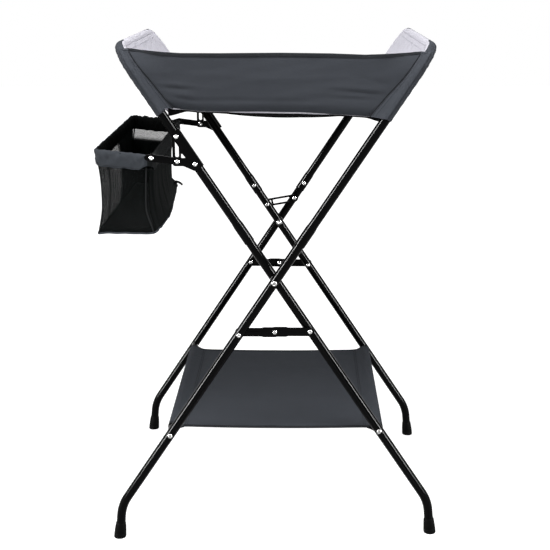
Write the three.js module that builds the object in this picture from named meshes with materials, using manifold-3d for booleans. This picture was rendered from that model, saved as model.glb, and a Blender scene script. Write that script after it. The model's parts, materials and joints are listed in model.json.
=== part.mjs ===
// A folding changing table. Two hoop frames cross in an X and fold about a pivot on each side.
// The outer frame leans right: its feet are on the left and its hoop carries the tub's right end.
// The inner frame leans left, carries the tub's left end and holds a basket on two arms.
// Millimetres, +Z up, X from the left feet to the right feet, Y from the front to the back.

import * as THREE from 'three';
import { mergeVertices } from 'three/addons/utils/BufferGeometryUtils.js';
import Module from 'manifold-3d';

const wasm = await Module();
wasm.setup();

// ---------------------------------------------------------------- driving dimensions

const gap = 0.3;                    // running gap between pieces that touch
const overcut = 1;                  // how far a cutting solid runs past what it cuts
const tubeSides = 12;               // flats round a frame tube
const smallSides = 8;               // flats round a rivet, its hole, a screw or a wire
const ringOverlap = 0.02;           // share of a side where the halves of a wire ring overlap
const hoopBendSteps = 6;
const ankleBendSteps = 4;
const rimBendSteps = 3;

// frame tubes
const tubeRadius = 9.5;
const tubeWall = 1.2;
const legAngle = THREE.MathUtils.degToRad(33.5);   // lean of each frame away from upright
const pivotHeight = 559;
const innerHalfDepth = 270;         // middle of the table to the inner frame's tube centres
const frameGap = 11;                // between the inner and the outer frame's tubes
const hoopReach = 548;              // pivot to the centre of the hoop's top bar
const hoopBend = 60;
const ankleHeight = 73;             // where the leg turns down to the foot
const ankleBend = 90;
const ankleLean = THREE.MathUtils.degToRad(5.5);

// joint between each leg and its hoop: the hoop's end is expanded over the leg
const socketStart = 90;             // pivot to the socket's mouth
const socketLength = 42;
const socketTaper = 8;
const socketRadius = 11.2;
const legInsertion = 40;
const socketScrewReach = 110;
const socketScrewTip = 3;           // past the leg's wall
const socketScrewHeadHeight = 1.5;

// rubber feet
const footRadius = 12.6;
const footTopRadius = 11.6;
const footHeight = 34;
const soleThickness = 5;

// fasteners
const pivotShank = 4;
const pivotHead = 6.6;
const pivotHeadHeight = 3.2;
const pivotSpacerRadius = 9;
const rivetShank = 2.8;
const rivetHead = 4.8;
const rivetHeadHeight = 2;
const shoulderRadius = 4.8;         // rivet's shoulder between a tube and the strip it carries
const domeEdge = 0.3;               // straight share of a domed head's height

// folding stretchers
const stretcherReach = 130;         // pivot to the stretcher's end rivets
const linkThickness = 2.5;
const linkHalfWidth = 9;
const linkEyeHalfWidth = 10.4;
const linkEyeLength = 23;
const linkPackGap = 0.6;            // between the left and right links at the middle rivet

// lock hook above the rear pivot
const lockPivotReach = 67;
const lockStudReach = 53;
const lockThickness = 3;
const lockHalfWidth = 8.8;
const lockBar = 3.6;
const lockHookWidth = 4.4;
const lockMouth = 17.5;
const lockSlack = 0.6;
const studRadius = 3.5;
const lockInset = 3.5;              // from the inner frame's tube to the hook
const lockRivetHeadHeight = 1.6;
const lockStudProud = 1;

// shelf
const shelfReach = 391;
const shelfBarRadius = 8;
const shelfHalfDepth = 259;
const shelfFabric = 1.5;
const shelfSag = 3;
const shelfPlugLength = 20;
const shelfScrewHead = 5.4;
const shelfScrewHeadHeight = 2.4;

// basket hangers, on the inner frame's upper tubes
const hangerLowRivet = 281;
const hangerHighRivet = 346;
const hangerThickness = 3;
const hangerMargin = 11;            // plate beyond its end rivets
const hangerLip = 7;
const hangerShoulder = 8;           // plate beyond the tube rivets, on the basket's side
const hangerCorner = 9;             // plate beyond the arm rivet, outwards and down
const hangerToe = 12;               // and inwards
const hangerSlot = { width: 7, low: 9, high: 35, slope: 6 };      // heights above the arm rivet
const hangerWindow = { left: 8, right: 17, low: 7, high: 18 };    // from the arm rivet
const armRivet = { x: -190, z: 239.5 };     // from the main pivot
const basketPivot = { x: -241, z: 246 };
const armThickness = 3;
const armHalfWidth = 7;

// basket
const rimRadius = 3;
const rimWidth = 112;
const rimInset = 2;                 // from the inner frame's tube centres to the rim's wire
const rimBend = 14;
const rimTilt = THREE.MathUtils.degToRad(6);
const lugRadius = 8;
const lugThickness = 3;
const lugNeck = 12;                 // how far along the rim a lug is joined to it
const basketDepth = 153;            // basket pivot to the basket's underside
const basketFabric = 2.5;
const boardThickness = 2.5;

// tub
const sleeveFabric = 1.7;
const sleeveOverhang = 3;           // sleeve's end below the floor
const panelThickness = 3;
const tubFabric = 2;
const floorFabric = 3;
const floorRise = 330;              // main pivot to where the floor meets the end panels
const floorSag = 17;
const floorEdgeSag = 0.35;          // share of the sag along the side walls
const frontWallRise = 452;          // main pivot to the wall's top edge, at the hoops
const frontWallSag = 5;
const rearWallRise = 398;
const rearWallSag = 16;
const padThickness = 14;
const padInset = 6;

// ---------------------------------------------------------------- derived values

const lean = { sin: Math.sin(legAngle), cos: Math.cos(legAngle), tan: Math.tan(legAngle) };
const outerHalfDepth = innerHalfDepth + 2 * tubeRadius + frameGap;
const socketEnd = socketStart + socketLength;
const floorHeight = pivotHeight + floorRise;
const frontWallHeight = frontWallRise - floorRise;      // above the floor
const rearWallHeight = rearWallRise - floorRise;
const sleeveBottomReach = (floorHeight - sleeveOverhang - pivotHeight) / lean.cos;
const rimHalfDepth = innerHalfDepth - rimInset;
const innerFace = innerHalfDepth + tubeRadius;      // inner tube's side towards the outer frame
const outerFace = outerHalfDepth - tubeRadius;      // outer tube's side towards the inner frame
const sleeveRadius = tubeRadius + gap + sleeveFabric;
const middleOfGap = (innerFace + outerFace) / 2;
const innerSeat = innerHalfDepth - tubeRadius - gap;      // under a head inside the inner tubes
const outerSeat = outerHalfDepth + tubeRadius + gap;      // under a head outside the outer tubes

// ---------------------------------------------------------------- materials

const finish = (color, roughness, metalness) =>
  new THREE.MeshStandardMaterial({ color, roughness, metalness });

const blackPaint = finish(0x0b0b0c, 0.28, 0.3);
const brightSteel = finish(0xc8c8c6, 0.25, 1);
const blackRubber = finish(0x121212, 0.8, 0);
const blackNylon = finish(0x161616, 0.5, 0);
const greyFabric = finish(0x474a50, 0.9, 0);
const liningFabric = finish(0xcdcbd4, 0.7, 0);
const meshFabric = finish(0x1b1f1f, 0.9, 0);
const boardPlastic = finish(0x141414, 0.6, 0);

// ---------------------------------------------------------------- solids and meshes

/** A closed geometry as a solid that can be cut and joined. */
function solidOf(geometry) {
  geometry.deleteAttribute('normal');
  geometry.deleteAttribute('uv');
  const merged = mergeVertices(geometry, 1e-4);
  return new wasm.Manifold(new wasm.Mesh({
    numProp: 3,
    vertProperties: new Float32Array(merged.attributes.position.array),
    triVerts: new Uint32Array(merged.index.array),
  }));
}

function geometryOf(solid) {
  const cut = solid.getMesh();
  const geometry = new THREE.BufferGeometry();
  geometry.setAttribute('position', new THREE.BufferAttribute(cut.vertProperties, 3));
  geometry.setIndex(new THREE.BufferAttribute(cut.triVerts, 1));
  geometry.computeVertexNormals();
  return geometry;
}

/** A named mesh in its parent group. */
function addMesh(parent, name, shape, material) {
  const geometry = shape.isBufferGeometry ? shape : geometryOf(shape);
  const mesh = new THREE.Mesh(geometry, material);
  mesh.name = name;
  parent.add(mesh);
  return mesh;
}

function circle(radius, sides) {
  const turn = (2 * Math.PI) / sides;
  return Array.from({ length: sides }, (_, i) =>
    new THREE.Vector2(radius * Math.cos(i * turn), radius * Math.sin(i * turn)));
}

/** A path through given points, stepped point by point. */
class PointPath extends THREE.Curve {
  constructor(points) {
    super();
    this.points = points;
  }

  getPoint(t, target = new THREE.Vector3()) {
    const last = this.points.length - 1;
    const index = Math.min(Math.floor(t * last + 1e-9), last - 1);
    return target.lerpVectors(this.points[index], this.points[index + 1], t * last - index);
  }

  getSpacedPoints(divisions) {
    return this.getPoints(divisions);
  }

  getTangentAt(u, target) {
    return this.getTangent(u, target);
  }
}

/** Corner points with every inner corner rounded. A closed outline rounds all of them. */
function roundedCorners(corners, radius, steps, closed = false) {
  const points = [];
  const count = corners.length;
  corners.forEach((corner, i) => {
    if (!closed && (i === 0 || i === count - 1)) {
      points.push(corner.clone());
      return;
    }
    const back = corners[(i + count - 1) % count].clone().sub(corner).normalize();
    const ahead = corners[(i + 1) % count].clone().sub(corner).normalize();
    const half = back.angleTo(ahead) / 2;
    const centre = back.clone().add(ahead).normalize().multiplyScalar(radius / Math.sin(half)).add(corner);
    const start = back.multiplyScalar(radius / Math.tan(half)).add(corner).sub(centre);
    const end = ahead.multiplyScalar(radius / Math.tan(half)).add(corner).sub(centre);
    const sweep = Math.PI - 2 * half;
    for (let k = 0; k <= steps; k += 1) {
      const part = (sweep * k) / steps;
      const a = Math.sin(sweep - part) / Math.sin(sweep);
      const b = Math.sin(part) / Math.sin(sweep);
      points.push(start.clone().multiplyScalar(a).add(end.clone().multiplyScalar(b)).add(centre));
    }
  });
  return points;
}

/** A round bar along points. */
function barAlong(points, radius, sides = tubeSides) {
  const path = new PointPath(points);
  const section = new THREE.Shape(circle(radius, sides));
  return solidOf(new THREE.ExtrudeGeometry(section, {
    steps: points.length - 1, extrudePath: path, bevelEnabled: false,
  }));
}

/** A round bar along a closed loop of points, in two halves that overlap on straight sides. */
function ringAlong(loop, radius) {
  const half = loop.length / 2;
  const onSideAt = (i, share) => loop[i].clone().lerp(loop[(i + 1) % loop.length], share);
  const halfRing = (first) => barAlong([
    onSideAt((first + loop.length - 1) % loop.length, (1 - ringOverlap) / 2),
    ...loop.slice(first, first + half),
    onSideAt(first + half - 1, (1 + ringOverlap) / 2),
  ], radius, smallSides);
  return halfRing(0).add(halfRing(half));
}

/** A cylinder along Y between two Y values. */
function pegY(radius, x, z, yLow, yHigh, sides = smallSides) {
  const geometry = new THREE.CylinderGeometry(radius, radius, yHigh - yLow, sides);
  geometry.translate(x, (yLow + yHigh) / 2, z);
  return solidOf(geometry);
}

/** A cutter for a rivet hole through yLow to yHigh that clears the shank by the running gap. */
function holeY(shank, x, z, yLow, yHigh) {
  return pegY((shank + gap) / Math.cos(Math.PI / smallSides), x, z, yLow - overcut, yHigh + overcut);
}

/** A cylinder or cone along Z, from its low end. */
function pegZ(lowRadius, highRadius, low, high, y, sides = tubeSides) {
  const geometry = new THREE.CylinderGeometry(highRadius, lowRadius, high - low, sides);
  geometry.rotateX(Math.PI / 2);
  geometry.translate(0, y, (low + high) / 2);
  return solidOf(geometry);
}

function box(xLow, xHigh, yLow, yHigh, zLow, zHigh) {
  const geometry = new THREE.BoxGeometry(xHigh - xLow, yHigh - yLow, zHigh - zLow);
  geometry.translate((xLow + xHigh) / 2, (yLow + yHigh) / 2, (zLow + zHigh) / 2);
  return solidOf(geometry);
}

/** A flat plate in the XZ plane: the outline's second value is Z. It fills yLow to yHigh. */
function plate(shape, yLow, yHigh) {
  const geometry = new THREE.ExtrudeGeometry(shape, {
    depth: yHigh - yLow, bevelEnabled: false, curveSegments: 6,
  });
  geometry.rotateX(Math.PI / 2);
  geometry.translate(0, yHigh, 0);
  return solidOf(geometry);
}

/** A closed slab between two surfaces, each a function of u and v from 0 to 1. */
function slab(uSteps, vSteps, lower, upper) {
  const geometry = new THREE.BoxGeometry(1, 1, 1, uSteps, vSteps, 1);
  const position = geometry.attributes.position;
  const point = new THREE.Vector3();
  for (let i = 0; i < position.count; i += 1) {
    point.fromBufferAttribute(position, i);
    const surface = point.z < 0 ? lower : upper;
    surface(point.x + 0.5, point.y + 0.5, point);
    position.setXYZ(i, point.x, point.y, point.z);
  }
  return solidOf(geometry);
}

// ---------------------------------------------------------------- fasteners, all along Y

/** Points of a domed head, from its rim to its crown, on the side that `out` points to. */
function dome(radius, height, seat, out) {
  const rise = (a) => height * (domeEdge + (1 - domeEdge) * Math.sin(a));
  const rim = [0, Math.PI / 4].map((a) => new THREE.Vector2(radius * Math.cos(a), seat + out * rise(a)));
  return [new THREE.Vector2(radius, seat), ...rim, new THREE.Vector2(0, seat + out * height)];
}

/** A rivet or bolt: a shank from yLow to yHigh, with a domed head on each end that has a radius. */
function rivet(shank, yLow, yHigh, lowHead, highHead, headHeight) {
  const low = lowHead ? dome(lowHead, headHeight, yLow, -1).reverse() : [new THREE.Vector2(0, yLow)];
  const high = highHead ? dome(highHead, headHeight, yHigh, 1) : [new THREE.Vector2(0, yHigh)];
  const profile = [...low, new THREE.Vector2(shank, yLow), new THREE.Vector2(shank, yHigh), ...high];
  return solidOf(new THREE.LatheGeometry(profile, smallSides));
}

/** The same solid for the front (-Y) or the back (+Y). */
const onSide = (solid, end) => (end < 0 ? solid.mirror([0, 1, 0]) : solid);

// ---------------------------------------------------------------- the two frames

// Each frame group turns about the pivot, so in it every tube runs along Z and the pivot is at 0.
const table = new THREE.Group();

function makeFrame(name, side, halfDepth) {
  const group = new THREE.Group();
  group.position.z = pivotHeight;
  group.rotation.y = side * legAngle;
  table.add(group);
  return { name, side, halfDepth, group };
}

const outer = makeFrame('outer', 1, outerHalfDepth);
const inner = makeFrame('inner', -1, innerHalfDepth);
const ends = [{ label: 'front', end: -1 }, { label: 'rear', end: 1 }];

/** A point given level and plumb from the pivot, in a frame's own leaning axes. */
function inFrame(frame, x, z) {
  return new THREE.Vector2(
    x * lean.cos - frame.side * z * lean.sin, frame.side * x * lean.sin + z * lean.cos);
}

const ankleReach = (pivotHeight - ankleHeight) / lean.cos;
const ankleTurn = legAngle - ankleLean;
const shinLength = ankleHeight / Math.cos(ankleLean);

/** Centre line of a leg, from inside the hoop's socket to the given height above the floor. */
function legLine(frame, topReach, aboveFloor) {
  const shin = shinLength - aboveFloor / Math.cos(ankleLean);
  const top = new THREE.Vector3(0, frame.halfDepth, topReach);
  const corner = new THREE.Vector3(0, frame.halfDepth, -ankleReach);
  const foot = new THREE.Vector3(
    frame.side * shin * Math.sin(ankleTurn), frame.halfDepth, -ankleReach - shin * Math.cos(ankleTurn));
  return roundedCorners([top, corner, foot], ankleBend, ankleBendSteps);
}

/** Centre line of a hoop, from both ends at the given reach over the top bar. */
function hoopLine(frame, startReach) {
  const y = frame.halfDepth;
  return roundedCorners([
    new THREE.Vector3(0, -y, startReach), new THREE.Vector3(0, -y, hoopReach),
    new THREE.Vector3(0, y, hoopReach), new THREE.Vector3(0, y, startReach),
  ], hoopBend, hoopBendSteps);
}

/** Rivet holes right through a rear tube, at each reach, for a shank of each radius. */
function drill(frame, tube, holes) {
  const low = frame.halfDepth - tubeRadius;
  const high = frame.halfDepth + tubeRadius;
  return holes.reduce((left, [reach, shank]) => left.subtract(holeY(shank, 0, reach, low, high)), tube);
}

function makeLegs(frame) {
  const top = socketStart + legInsertion;
  const outside = barAlong(legLine(frame, top, soleThickness), tubeRadius);
  const bore = barAlong(
    legLine(frame, top + overcut, soleThickness - overcut), tubeRadius - tubeWall, smallSides);
  const holes = [[0, pivotShank], [-stretcherReach, rivetShank], [-shelfReach, rivetShank],
    [socketScrewReach, rivetShank]];
  const lockHole = [frame.side > 0 ? lockPivotReach : lockStudReach, rivetShank];
  ends.forEach(({ label, end }) => {
    const drilled = drill(frame, outside.subtract(bore), end > 0 ? [...holes, lockHole] : holes);
    addMesh(frame.group, `${frame.name}_leg_${label}`, onSide(drilled, end), blackPaint);
  });
}

function makeHoop(frame) {
  const tube = barAlong(hoopLine(frame, socketStart), tubeRadius);
  const bore = barAlong(hoopLine(frame, socketStart - overcut), tubeRadius - tubeWall, smallSides);
  const legRoom = tubeRadius + gap;
  const socket = pegZ(socketRadius, socketRadius, socketStart, socketEnd, frame.halfDepth)
    .add(pegZ(socketRadius, tubeRadius, socketEnd, socketEnd + socketTaper, frame.halfDepth));
  const socketBore = pegZ(legRoom, legRoom, socketStart - overcut, socketEnd, frame.halfDepth)
    .add(pegZ(legRoom, tubeRadius - tubeWall, socketEnd, socketEnd + socketTaper, frame.halfDepth));
  const screwHole = holeY(
    rivetShank, 0, socketScrewReach, frame.halfDepth - socketRadius, frame.halfDepth);
  const hangerHoles = [hangerLowRivet, hangerHighRivet].map((reach) =>
    holeY(rivetShank, 0, reach, frame.halfDepth, frame.halfDepth + tubeRadius));
  const cuts = [socketBore, screwHole, ...(frame === inner ? hangerHoles : [])];
  let hoop = tube.add(socket).add(onSide(socket, -1)).subtract(bore);
  cuts.forEach((cut) => {
    hoop = hoop.subtract(cut).subtract(onSide(cut, -1));
  });
  addMesh(frame.group, `${frame.name}_hoop`, hoop, blackPaint);
}

/** Screws through the socket and the leg's wall inside it, from the table's inner side. */
function makeSocketScrews(frame) {
  const head = frame.halfDepth - socketRadius - gap;
  const tip = frame.halfDepth - tubeRadius + tubeWall + socketScrewTip;
  const screw = rivet(rivetShank, head, tip, rivetHead, 0, socketScrewHeadHeight)
    .translate(0, 0, socketScrewReach);
  ends.forEach(({ label, end }) =>
    addMesh(frame.group, `${frame.name}_hoop_screw_${label}`, onSide(screw, end), brightSteel));
}

/** Rubber feet: a cup round the leg's end, cut level with the floor. */
function makeFeet(frame) {
  const below = 2 * soleThickness;          // cut away at the floor
  const cup = new THREE.CylinderGeometry(footTopRadius, footRadius, footHeight + below, tubeSides);
  cup.translate(0, (footHeight - below) / 2, 0);
  cup.rotateX(Math.PI / 2);
  cup.rotateY(frame.side * ankleLean - frame.side * legAngle);
  const sole = legLine(frame, 0, 0).at(-1);
  cup.translate(sole.x, sole.y, sole.z);
  const legRoom = barAlong(legLine(frame, 0, soleThickness - gap), tubeRadius + gap);
  const groundSize = 6 * footRadius;
  const ground = new THREE.BoxGeometry(groundSize, groundSize, groundSize);
  ground.translate(0, 0, -groundSize / 2);
  ground.rotateY(-frame.side * legAngle);
  ground.translate(sole.x, sole.y, sole.z);
  const foot = solidOf(cup).subtract(legRoom).subtract(solidOf(ground));
  ends.forEach(({ label, end }) =>
    addMesh(frame.group, `${frame.name}_foot_${label}`, onSide(foot, end), blackRubber));
}

/** The bar between a frame's lower legs that a shelf sleeve slides on. A screw plug is in each end. */
function makeShelfBar(frame, name) {
  const span = frame.halfDepth;
  const bore = shelfBarRadius - tubeWall;
  const roomRadius = tubeRadius + gap;
  const legRoom = pegZ(roomRadius, roomRadius, -2 * shelfBarRadius, 2 * shelfBarRadius, span)
    .translate(0, 0, -shelfReach);
  const bar = pegY(shelfBarRadius, 0, -shelfReach, -span, span, tubeSides)
    .subtract(pegY(bore, 0, -shelfReach, -span - overcut, span + overcut, smallSides))
    .subtract(legRoom)
    .subtract(onSide(legRoom, -1));
  addMesh(frame.group, name, bar, blackPaint);
  const plugEnd = span - tubeRadius - gap;
  const plugStart = plugEnd - shelfPlugLength;
  const seat = span + tubeRadius + gap;
  const screw = rivet(rivetShank, plugStart, seat, 0, shelfScrewHead, shelfScrewHeadHeight)
    .translate(0, 0, -shelfReach)
    .add(pegY(bore - gap, 0, -shelfReach, plugStart, plugEnd));
  ends.forEach(({ label, end }) =>
    addMesh(frame.group, `shelf_screw_${frame.name}_${label}`, onSide(screw, end), brightSteel));
}

[outer, inner].forEach((frame) => {
  makeLegs(frame);
  makeHoop(frame);
  makeSocketScrews(frame);
  makeFeet(frame);
});
makeShelfBar(outer, 'shelf_bar_left');
makeShelfBar(inner, 'shelf_bar_right');

// ---------------------------------------------------------------- main pivots

function makePivots() {
  const headSeat = tubeRadius + gap;
  const bolt = rivet(
    pivotShank, innerHalfDepth - headSeat, outerHalfDepth + headSeat, pivotHead, pivotHead, pivotHeadHeight);
  const spacer = pegY(pivotSpacerRadius, 0, 0, innerFace + gap, outerFace - gap)
    .subtract(holeY(pivotShank, 0, 0, innerFace, outerFace));
  ends.forEach(({ label, end }) => {
    addMesh(outer.group, `pivot_bolt_${label}`, onSide(bolt, end), brightSteel);
    addMesh(outer.group, `pivot_spacer_${label}`, onSide(spacer, end), blackNylon);
  });
}

// ---------------------------------------------------------------- folding stretchers

/** A strap from one eye to the other in the XZ plane, with a rivet hole in its first eye. */
function strap(from, to, halfWidth, hole, yLow, yHigh) {
  const along = to.clone().sub(from).normalize();
  const turn = Math.atan2(along.y, along.x);
  const shape = new THREE.Shape();
  shape.absarc(from.x, from.y, halfWidth, turn + Math.PI / 2, turn - Math.PI / 2, false);
  shape.absarc(to.x, to.y, halfWidth, turn - Math.PI / 2, turn + Math.PI / 2, false);
  const bar = plate(shape, yLow, yHigh);
  return hole ? bar.subtract(holeY(hole, from.x, from.y, yLow, yHigh)) : bar;
}

/**
 * One link of a stretcher. Its outer end turns on a rivet in its own frame's tube.
 * The links meet at the middle rivet, the left link towards the outer frame.
 */
function makeLinks(frame, name, yLow, yHigh) {
  const attach = inFrame(frame, -frame.side * stretcherReach * lean.sin, -stretcherReach * lean.cos);
  const middle = inFrame(frame, 0, -stretcherReach * lean.cos);
  const towardsAttach = attach.clone().sub(middle).normalize();
  const eyeStart = middle.clone().addScaledVector(towardsAttach, linkEyeLength);
  const eye = strap(eyeStart, middle, linkEyeHalfWidth, 0, yLow, yHigh);
  const link = strap(attach, middle, linkHalfWidth, rivetShank, yLow, yHigh).add(eye);
  return { frame, name, attach, middle, link };
}

function makeStretchers() {
  const rightHigh = middleOfGap - linkPackGap / 2;
  const rightLow = rightHigh - linkThickness;
  const leftLow = middleOfGap + linkPackGap / 2;
  const leftHigh = leftLow + linkThickness;
  const left = makeLinks(outer, 'left', leftLow, leftHigh);
  const right = makeLinks(inner, 'right', rightLow, rightHigh);

  const pinHole = holeY(rivetShank, left.middle.x, left.middle.y, leftLow, leftHigh);
  const pin = rivet(rivetShank, leftLow, leftHigh + gap, 0, rivetHead, rivetHeadHeight - gap)
    .translate(left.middle.x, 0, left.middle.y);
  const peenedEnd = rivet(rivetShank, rightLow, rightHigh, rivetHead, 0, rivetHeadHeight)
    .translate(right.middle.x, 0, right.middle.y);

  // Each end rivet has a shoulder that fills the space between its tube and its link.
  const outerRivet = rivet(rivetShank, leftLow, outerSeat, 0, rivetHead, rivetHeadHeight)
    .add(pegY(shoulderRadius, 0, 0, leftHigh + gap, outerFace - gap))
    .translate(left.attach.x, 0, left.attach.y);
  const innerRivet = rivet(rivetShank, innerSeat, rightHigh + gap, rivetHead, rivetHead, rivetHeadHeight)
    .add(pegY(shoulderRadius, 0, 0, innerFace + gap, rightLow - gap))
    .translate(right.attach.x, 0, right.attach.y);

  const leftLink = left.link.subtract(pinHole);
  const rightLink = right.link.add(peenedEnd);
  ends.forEach(({ label, end }) => {
    addMesh(outer.group, `stretcher_link_left_${label}`, onSide(leftLink, end), blackPaint);
    addMesh(inner.group, `stretcher_link_right_${label}`, onSide(rightLink, end), blackPaint);
    addMesh(outer.group, `stretcher_pin_${label}`, onSide(pin, end), brightSteel);
    addMesh(outer.group, `stretcher_rivet_left_${label}`, onSide(outerRivet, end), brightSteel);
    addMesh(inner.group, `stretcher_rivet_right_${label}`, onSide(innerRivet, end), brightSteel);
  });
}

// ---------------------------------------------------------------- lock hook

/** A slotted hook that turns on the outer frame and drops over a stud on the inner frame. */
function makeLock() {
  const pivot = inFrame(outer, lockPivotReach * lean.sin, lockPivotReach * lean.cos);
  const stud = inFrame(outer, -lockStudReach * lean.sin, lockStudReach * lean.cos);
  const reach = pivot.distanceTo(stud);
  const hookInside = reach + studRadius + lockSlack;
  const mouthStart = hookInside - lockMouth;
  const yLow = innerFace + lockInset;
  const yHigh = yLow + lockThickness;

  const outline = new THREE.Shape();
  outline.absarc(0, 0, lockHalfWidth, Math.PI / 2, -Math.PI / 2, false);
  outline.lineTo(mouthStart, -lockHalfWidth);
  outline.lineTo(mouthStart, lockHalfWidth - lockBar);
  outline.lineTo(hookInside, lockHalfWidth - lockBar);
  outline.lineTo(hookInside, -lockHalfWidth);
  outline.lineTo(hookInside + lockHookWidth, -lockHalfWidth);
  outline.lineTo(hookInside + lockHookWidth, lockHalfWidth);
  const windowStart = lockHalfWidth + lockBar / 2;
  const windowEnd = mouthStart - lockBar;
  const halfWindow = lockHalfWidth - lockBar;
  const hook = plate(outline, yLow, yHigh)
    .subtract(box(windowStart, windowEnd, yLow - overcut, yHigh + overcut, -halfWindow, halfWindow))
    .subtract(holeY(rivetShank, 0, 0, yLow, yHigh));
  const mesh = addMesh(outer.group, 'lock_hook', geometryOf(hook.mirror([1, 0, 0])), blackPaint);
  mesh.position.set(pivot.x, 0, pivot.y);
  mesh.rotation.y = Math.PI - Math.atan2(stud.y - pivot.y, stud.x - pivot.x);

  const pivotRivet = rivet(rivetShank, yLow - gap, outerSeat, rivetHead, rivetHead, lockRivetHeadHeight)
    .add(pegY(shoulderRadius, 0, 0, yHigh + gap, outerFace - gap))
    .translate(0, 0, lockPivotReach);
  addMesh(outer.group, 'lock_pivot_rivet', pivotRivet, brightSteel);
  const lockStud = rivet(rivetShank, innerSeat, innerFace + gap, rivetHead, 0, rivetHeadHeight)
    .add(pegY(studRadius, 0, 0, innerFace + gap, yHigh + lockStudProud))
    .translate(0, 0, lockStudReach);
  addMesh(inner.group, 'lock_stud', lockStud, brightSteel);
}

// ---------------------------------------------------------------- basket hangers

const hangerLow = innerFace + gap;
const hangerHigh = hangerLow + hangerThickness;
const armHigh = hangerLow - gap;
const armLow = armHigh - armThickness;

/** A pressed side plate on the inner hoop: a lip round the tube, a slot and a corner window. */
function makeHangers() {
  const at = (x, z) => inFrame(inner, armRivet.x + x, armRivet.z + z);
  const lipX = tubeRadius + gap;
  const bottom = hangerLowRivet - hangerMargin;
  const top = hangerHighRivet + hangerMargin;
  const outline = new THREE.Shape([
    new THREE.Vector2(lipX + hangerThickness, bottom), new THREE.Vector2(lipX + hangerThickness, top),
    new THREE.Vector2(-hangerShoulder, top), at(-hangerCorner, hangerHighRivet * lean.cos - armRivet.z),
    at(-hangerCorner, -hangerCorner), at(hangerToe, -hangerCorner),
    new THREE.Vector2(-hangerShoulder, bottom),
  ]);
  const slotLeft = -hangerSlot.width / 2;
  const slotRight = hangerSlot.width / 2;
  outline.holes.push(new THREE.Path([
    at(slotLeft, hangerSlot.low), at(slotRight, hangerSlot.low),
    at(slotRight, hangerSlot.high), at(slotLeft, hangerSlot.high + hangerSlot.slope),
  ]), new THREE.Path([
    at(hangerWindow.left, hangerWindow.low), at(hangerWindow.right, hangerWindow.low),
    at(hangerWindow.left, hangerWindow.high),
  ]));
  const rivetHole = (x, z) => holeY(rivetShank, x, z, hangerLow, hangerHigh);
  const armEye = inFrame(inner, armRivet.x, armRivet.z);
  const rimEye = inFrame(inner, basketPivot.x, basketPivot.z);
  const hanger = plate(outline, hangerLow, hangerHigh)
    .add(box(lipX, lipX + hangerThickness, hangerLow - hangerLip, hangerHigh, bottom, top))
    .subtract(rivetHole(0, hangerLowRivet))
    .subtract(rivetHole(0, hangerHighRivet))
    .subtract(rivetHole(armEye.x, armEye.y));

  const rimHole = holeY(rivetShank, rimEye.x, rimEye.y, armLow, armHigh);
  const arm = strap(armEye, rimEye, armHalfWidth, rivetShank, armLow, armHigh).subtract(rimHole);

  const outside = hangerHigh + gap;
  const tubeRivet = rivet(rivetShank, innerHalfDepth, outside, 0, rivetHead, rivetHeadHeight);
  const eyeRivet = rivet(rivetShank, armLow - gap, outside, rivetHead, rivetHead, rivetHeadHeight)
    .translate(armEye.x, 0, armEye.y);
  const rimPin = rivet(
    rivetShank, armLow - 2 * gap - lugThickness, armHigh + gap, 0, rivetHead, rivetHeadHeight)
    .translate(rimEye.x, 0, rimEye.y);
  ends.forEach(({ label, end }) => {
    addMesh(inner.group, `basket_hanger_${label}`, onSide(hanger, end), blackPaint);
    addMesh(inner.group, `basket_arm_${label}`, onSide(arm, end), blackPaint);
    [['low', hangerLowRivet], ['high', hangerHighRivet]].forEach(([level, reach]) => {
      const placed = onSide(tubeRivet.translate(0, 0, reach), end);
      addMesh(inner.group, `hanger_rivet_${level}_${label}`, placed, brightSteel);
    });
    addMesh(inner.group, `arm_rivet_${label}`, onSide(eyeRivet, end), brightSteel);
    addMesh(inner.group, `basket_pin_${label}`, onSide(rimPin, end), brightSteel);
  });
}

// ---------------------------------------------------------------- basket

// The basket group is level, with the basket's pivots on its Y axis.
const basket = new THREE.Group();
basket.position.set(basketPivot.x, 0, pivotHeight + basketPivot.z);
table.add(basket);

function makeBasket() {
  const farX = -rimWidth * Math.cos(rimTilt);
  const farZ = rimWidth * Math.sin(rimTilt);
  const loop = roundedCorners([
    new THREE.Vector3(0, -rimHalfDepth, 0), new THREE.Vector3(farX, -rimHalfDepth, farZ),
    new THREE.Vector3(farX, rimHalfDepth, farZ), new THREE.Vector3(0, rimHalfDepth, 0),
  ], rimBend, rimBendSteps, true);
  const lugHigh = armLow - gap;
  const lugLow = lugHigh - lugThickness;
  const lug = pegY(lugRadius, 0, 0, lugLow, lugHigh, tubeSides)
    .add(box(-lugNeck, 0, rimHalfDepth - rimRadius / 2, lugHigh, 0, rimRadius))
    .subtract(holeY(rivetShank, 0, 0, lugLow - lugRadius, lugHigh));
  const rim = ringAlong(loop, rimRadius).add(lug).add(onSide(lug, -1));
  addMesh(basket, 'basket_rim', rim, blackPaint);

  // The bag's walls hang under the wire.
  const half = basketFabric / 2;
  const depth = rimHalfDepth + half;
  const drop = rimRadius + gap;
  const outside = plate(new THREE.Shape([
    new THREE.Vector2(farX - half, -basketDepth), new THREE.Vector2(half, -basketDepth),
    new THREE.Vector2(half, -drop), new THREE.Vector2(farX - half, farZ - drop),
  ]), -depth, depth);
  const insideDepth = depth - basketFabric;
  const cavity = box(farX + half, -half, -insideDepth, insideDepth, -basketDepth + basketFabric, farZ);
  addMesh(basket, 'basket_bag', outside.subtract(cavity), meshFabric);

  const boardLow = -basketDepth + basketFabric + gap;
  const boardDepth = insideDepth - gap;
  const board = box(
    farX + half + gap, -half - gap, -boardDepth, boardDepth, boardLow, boardLow + boardThickness);
  addMesh(basket, 'basket_board', board, boardPlastic);
}

// ---------------------------------------------------------------- tub

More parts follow.
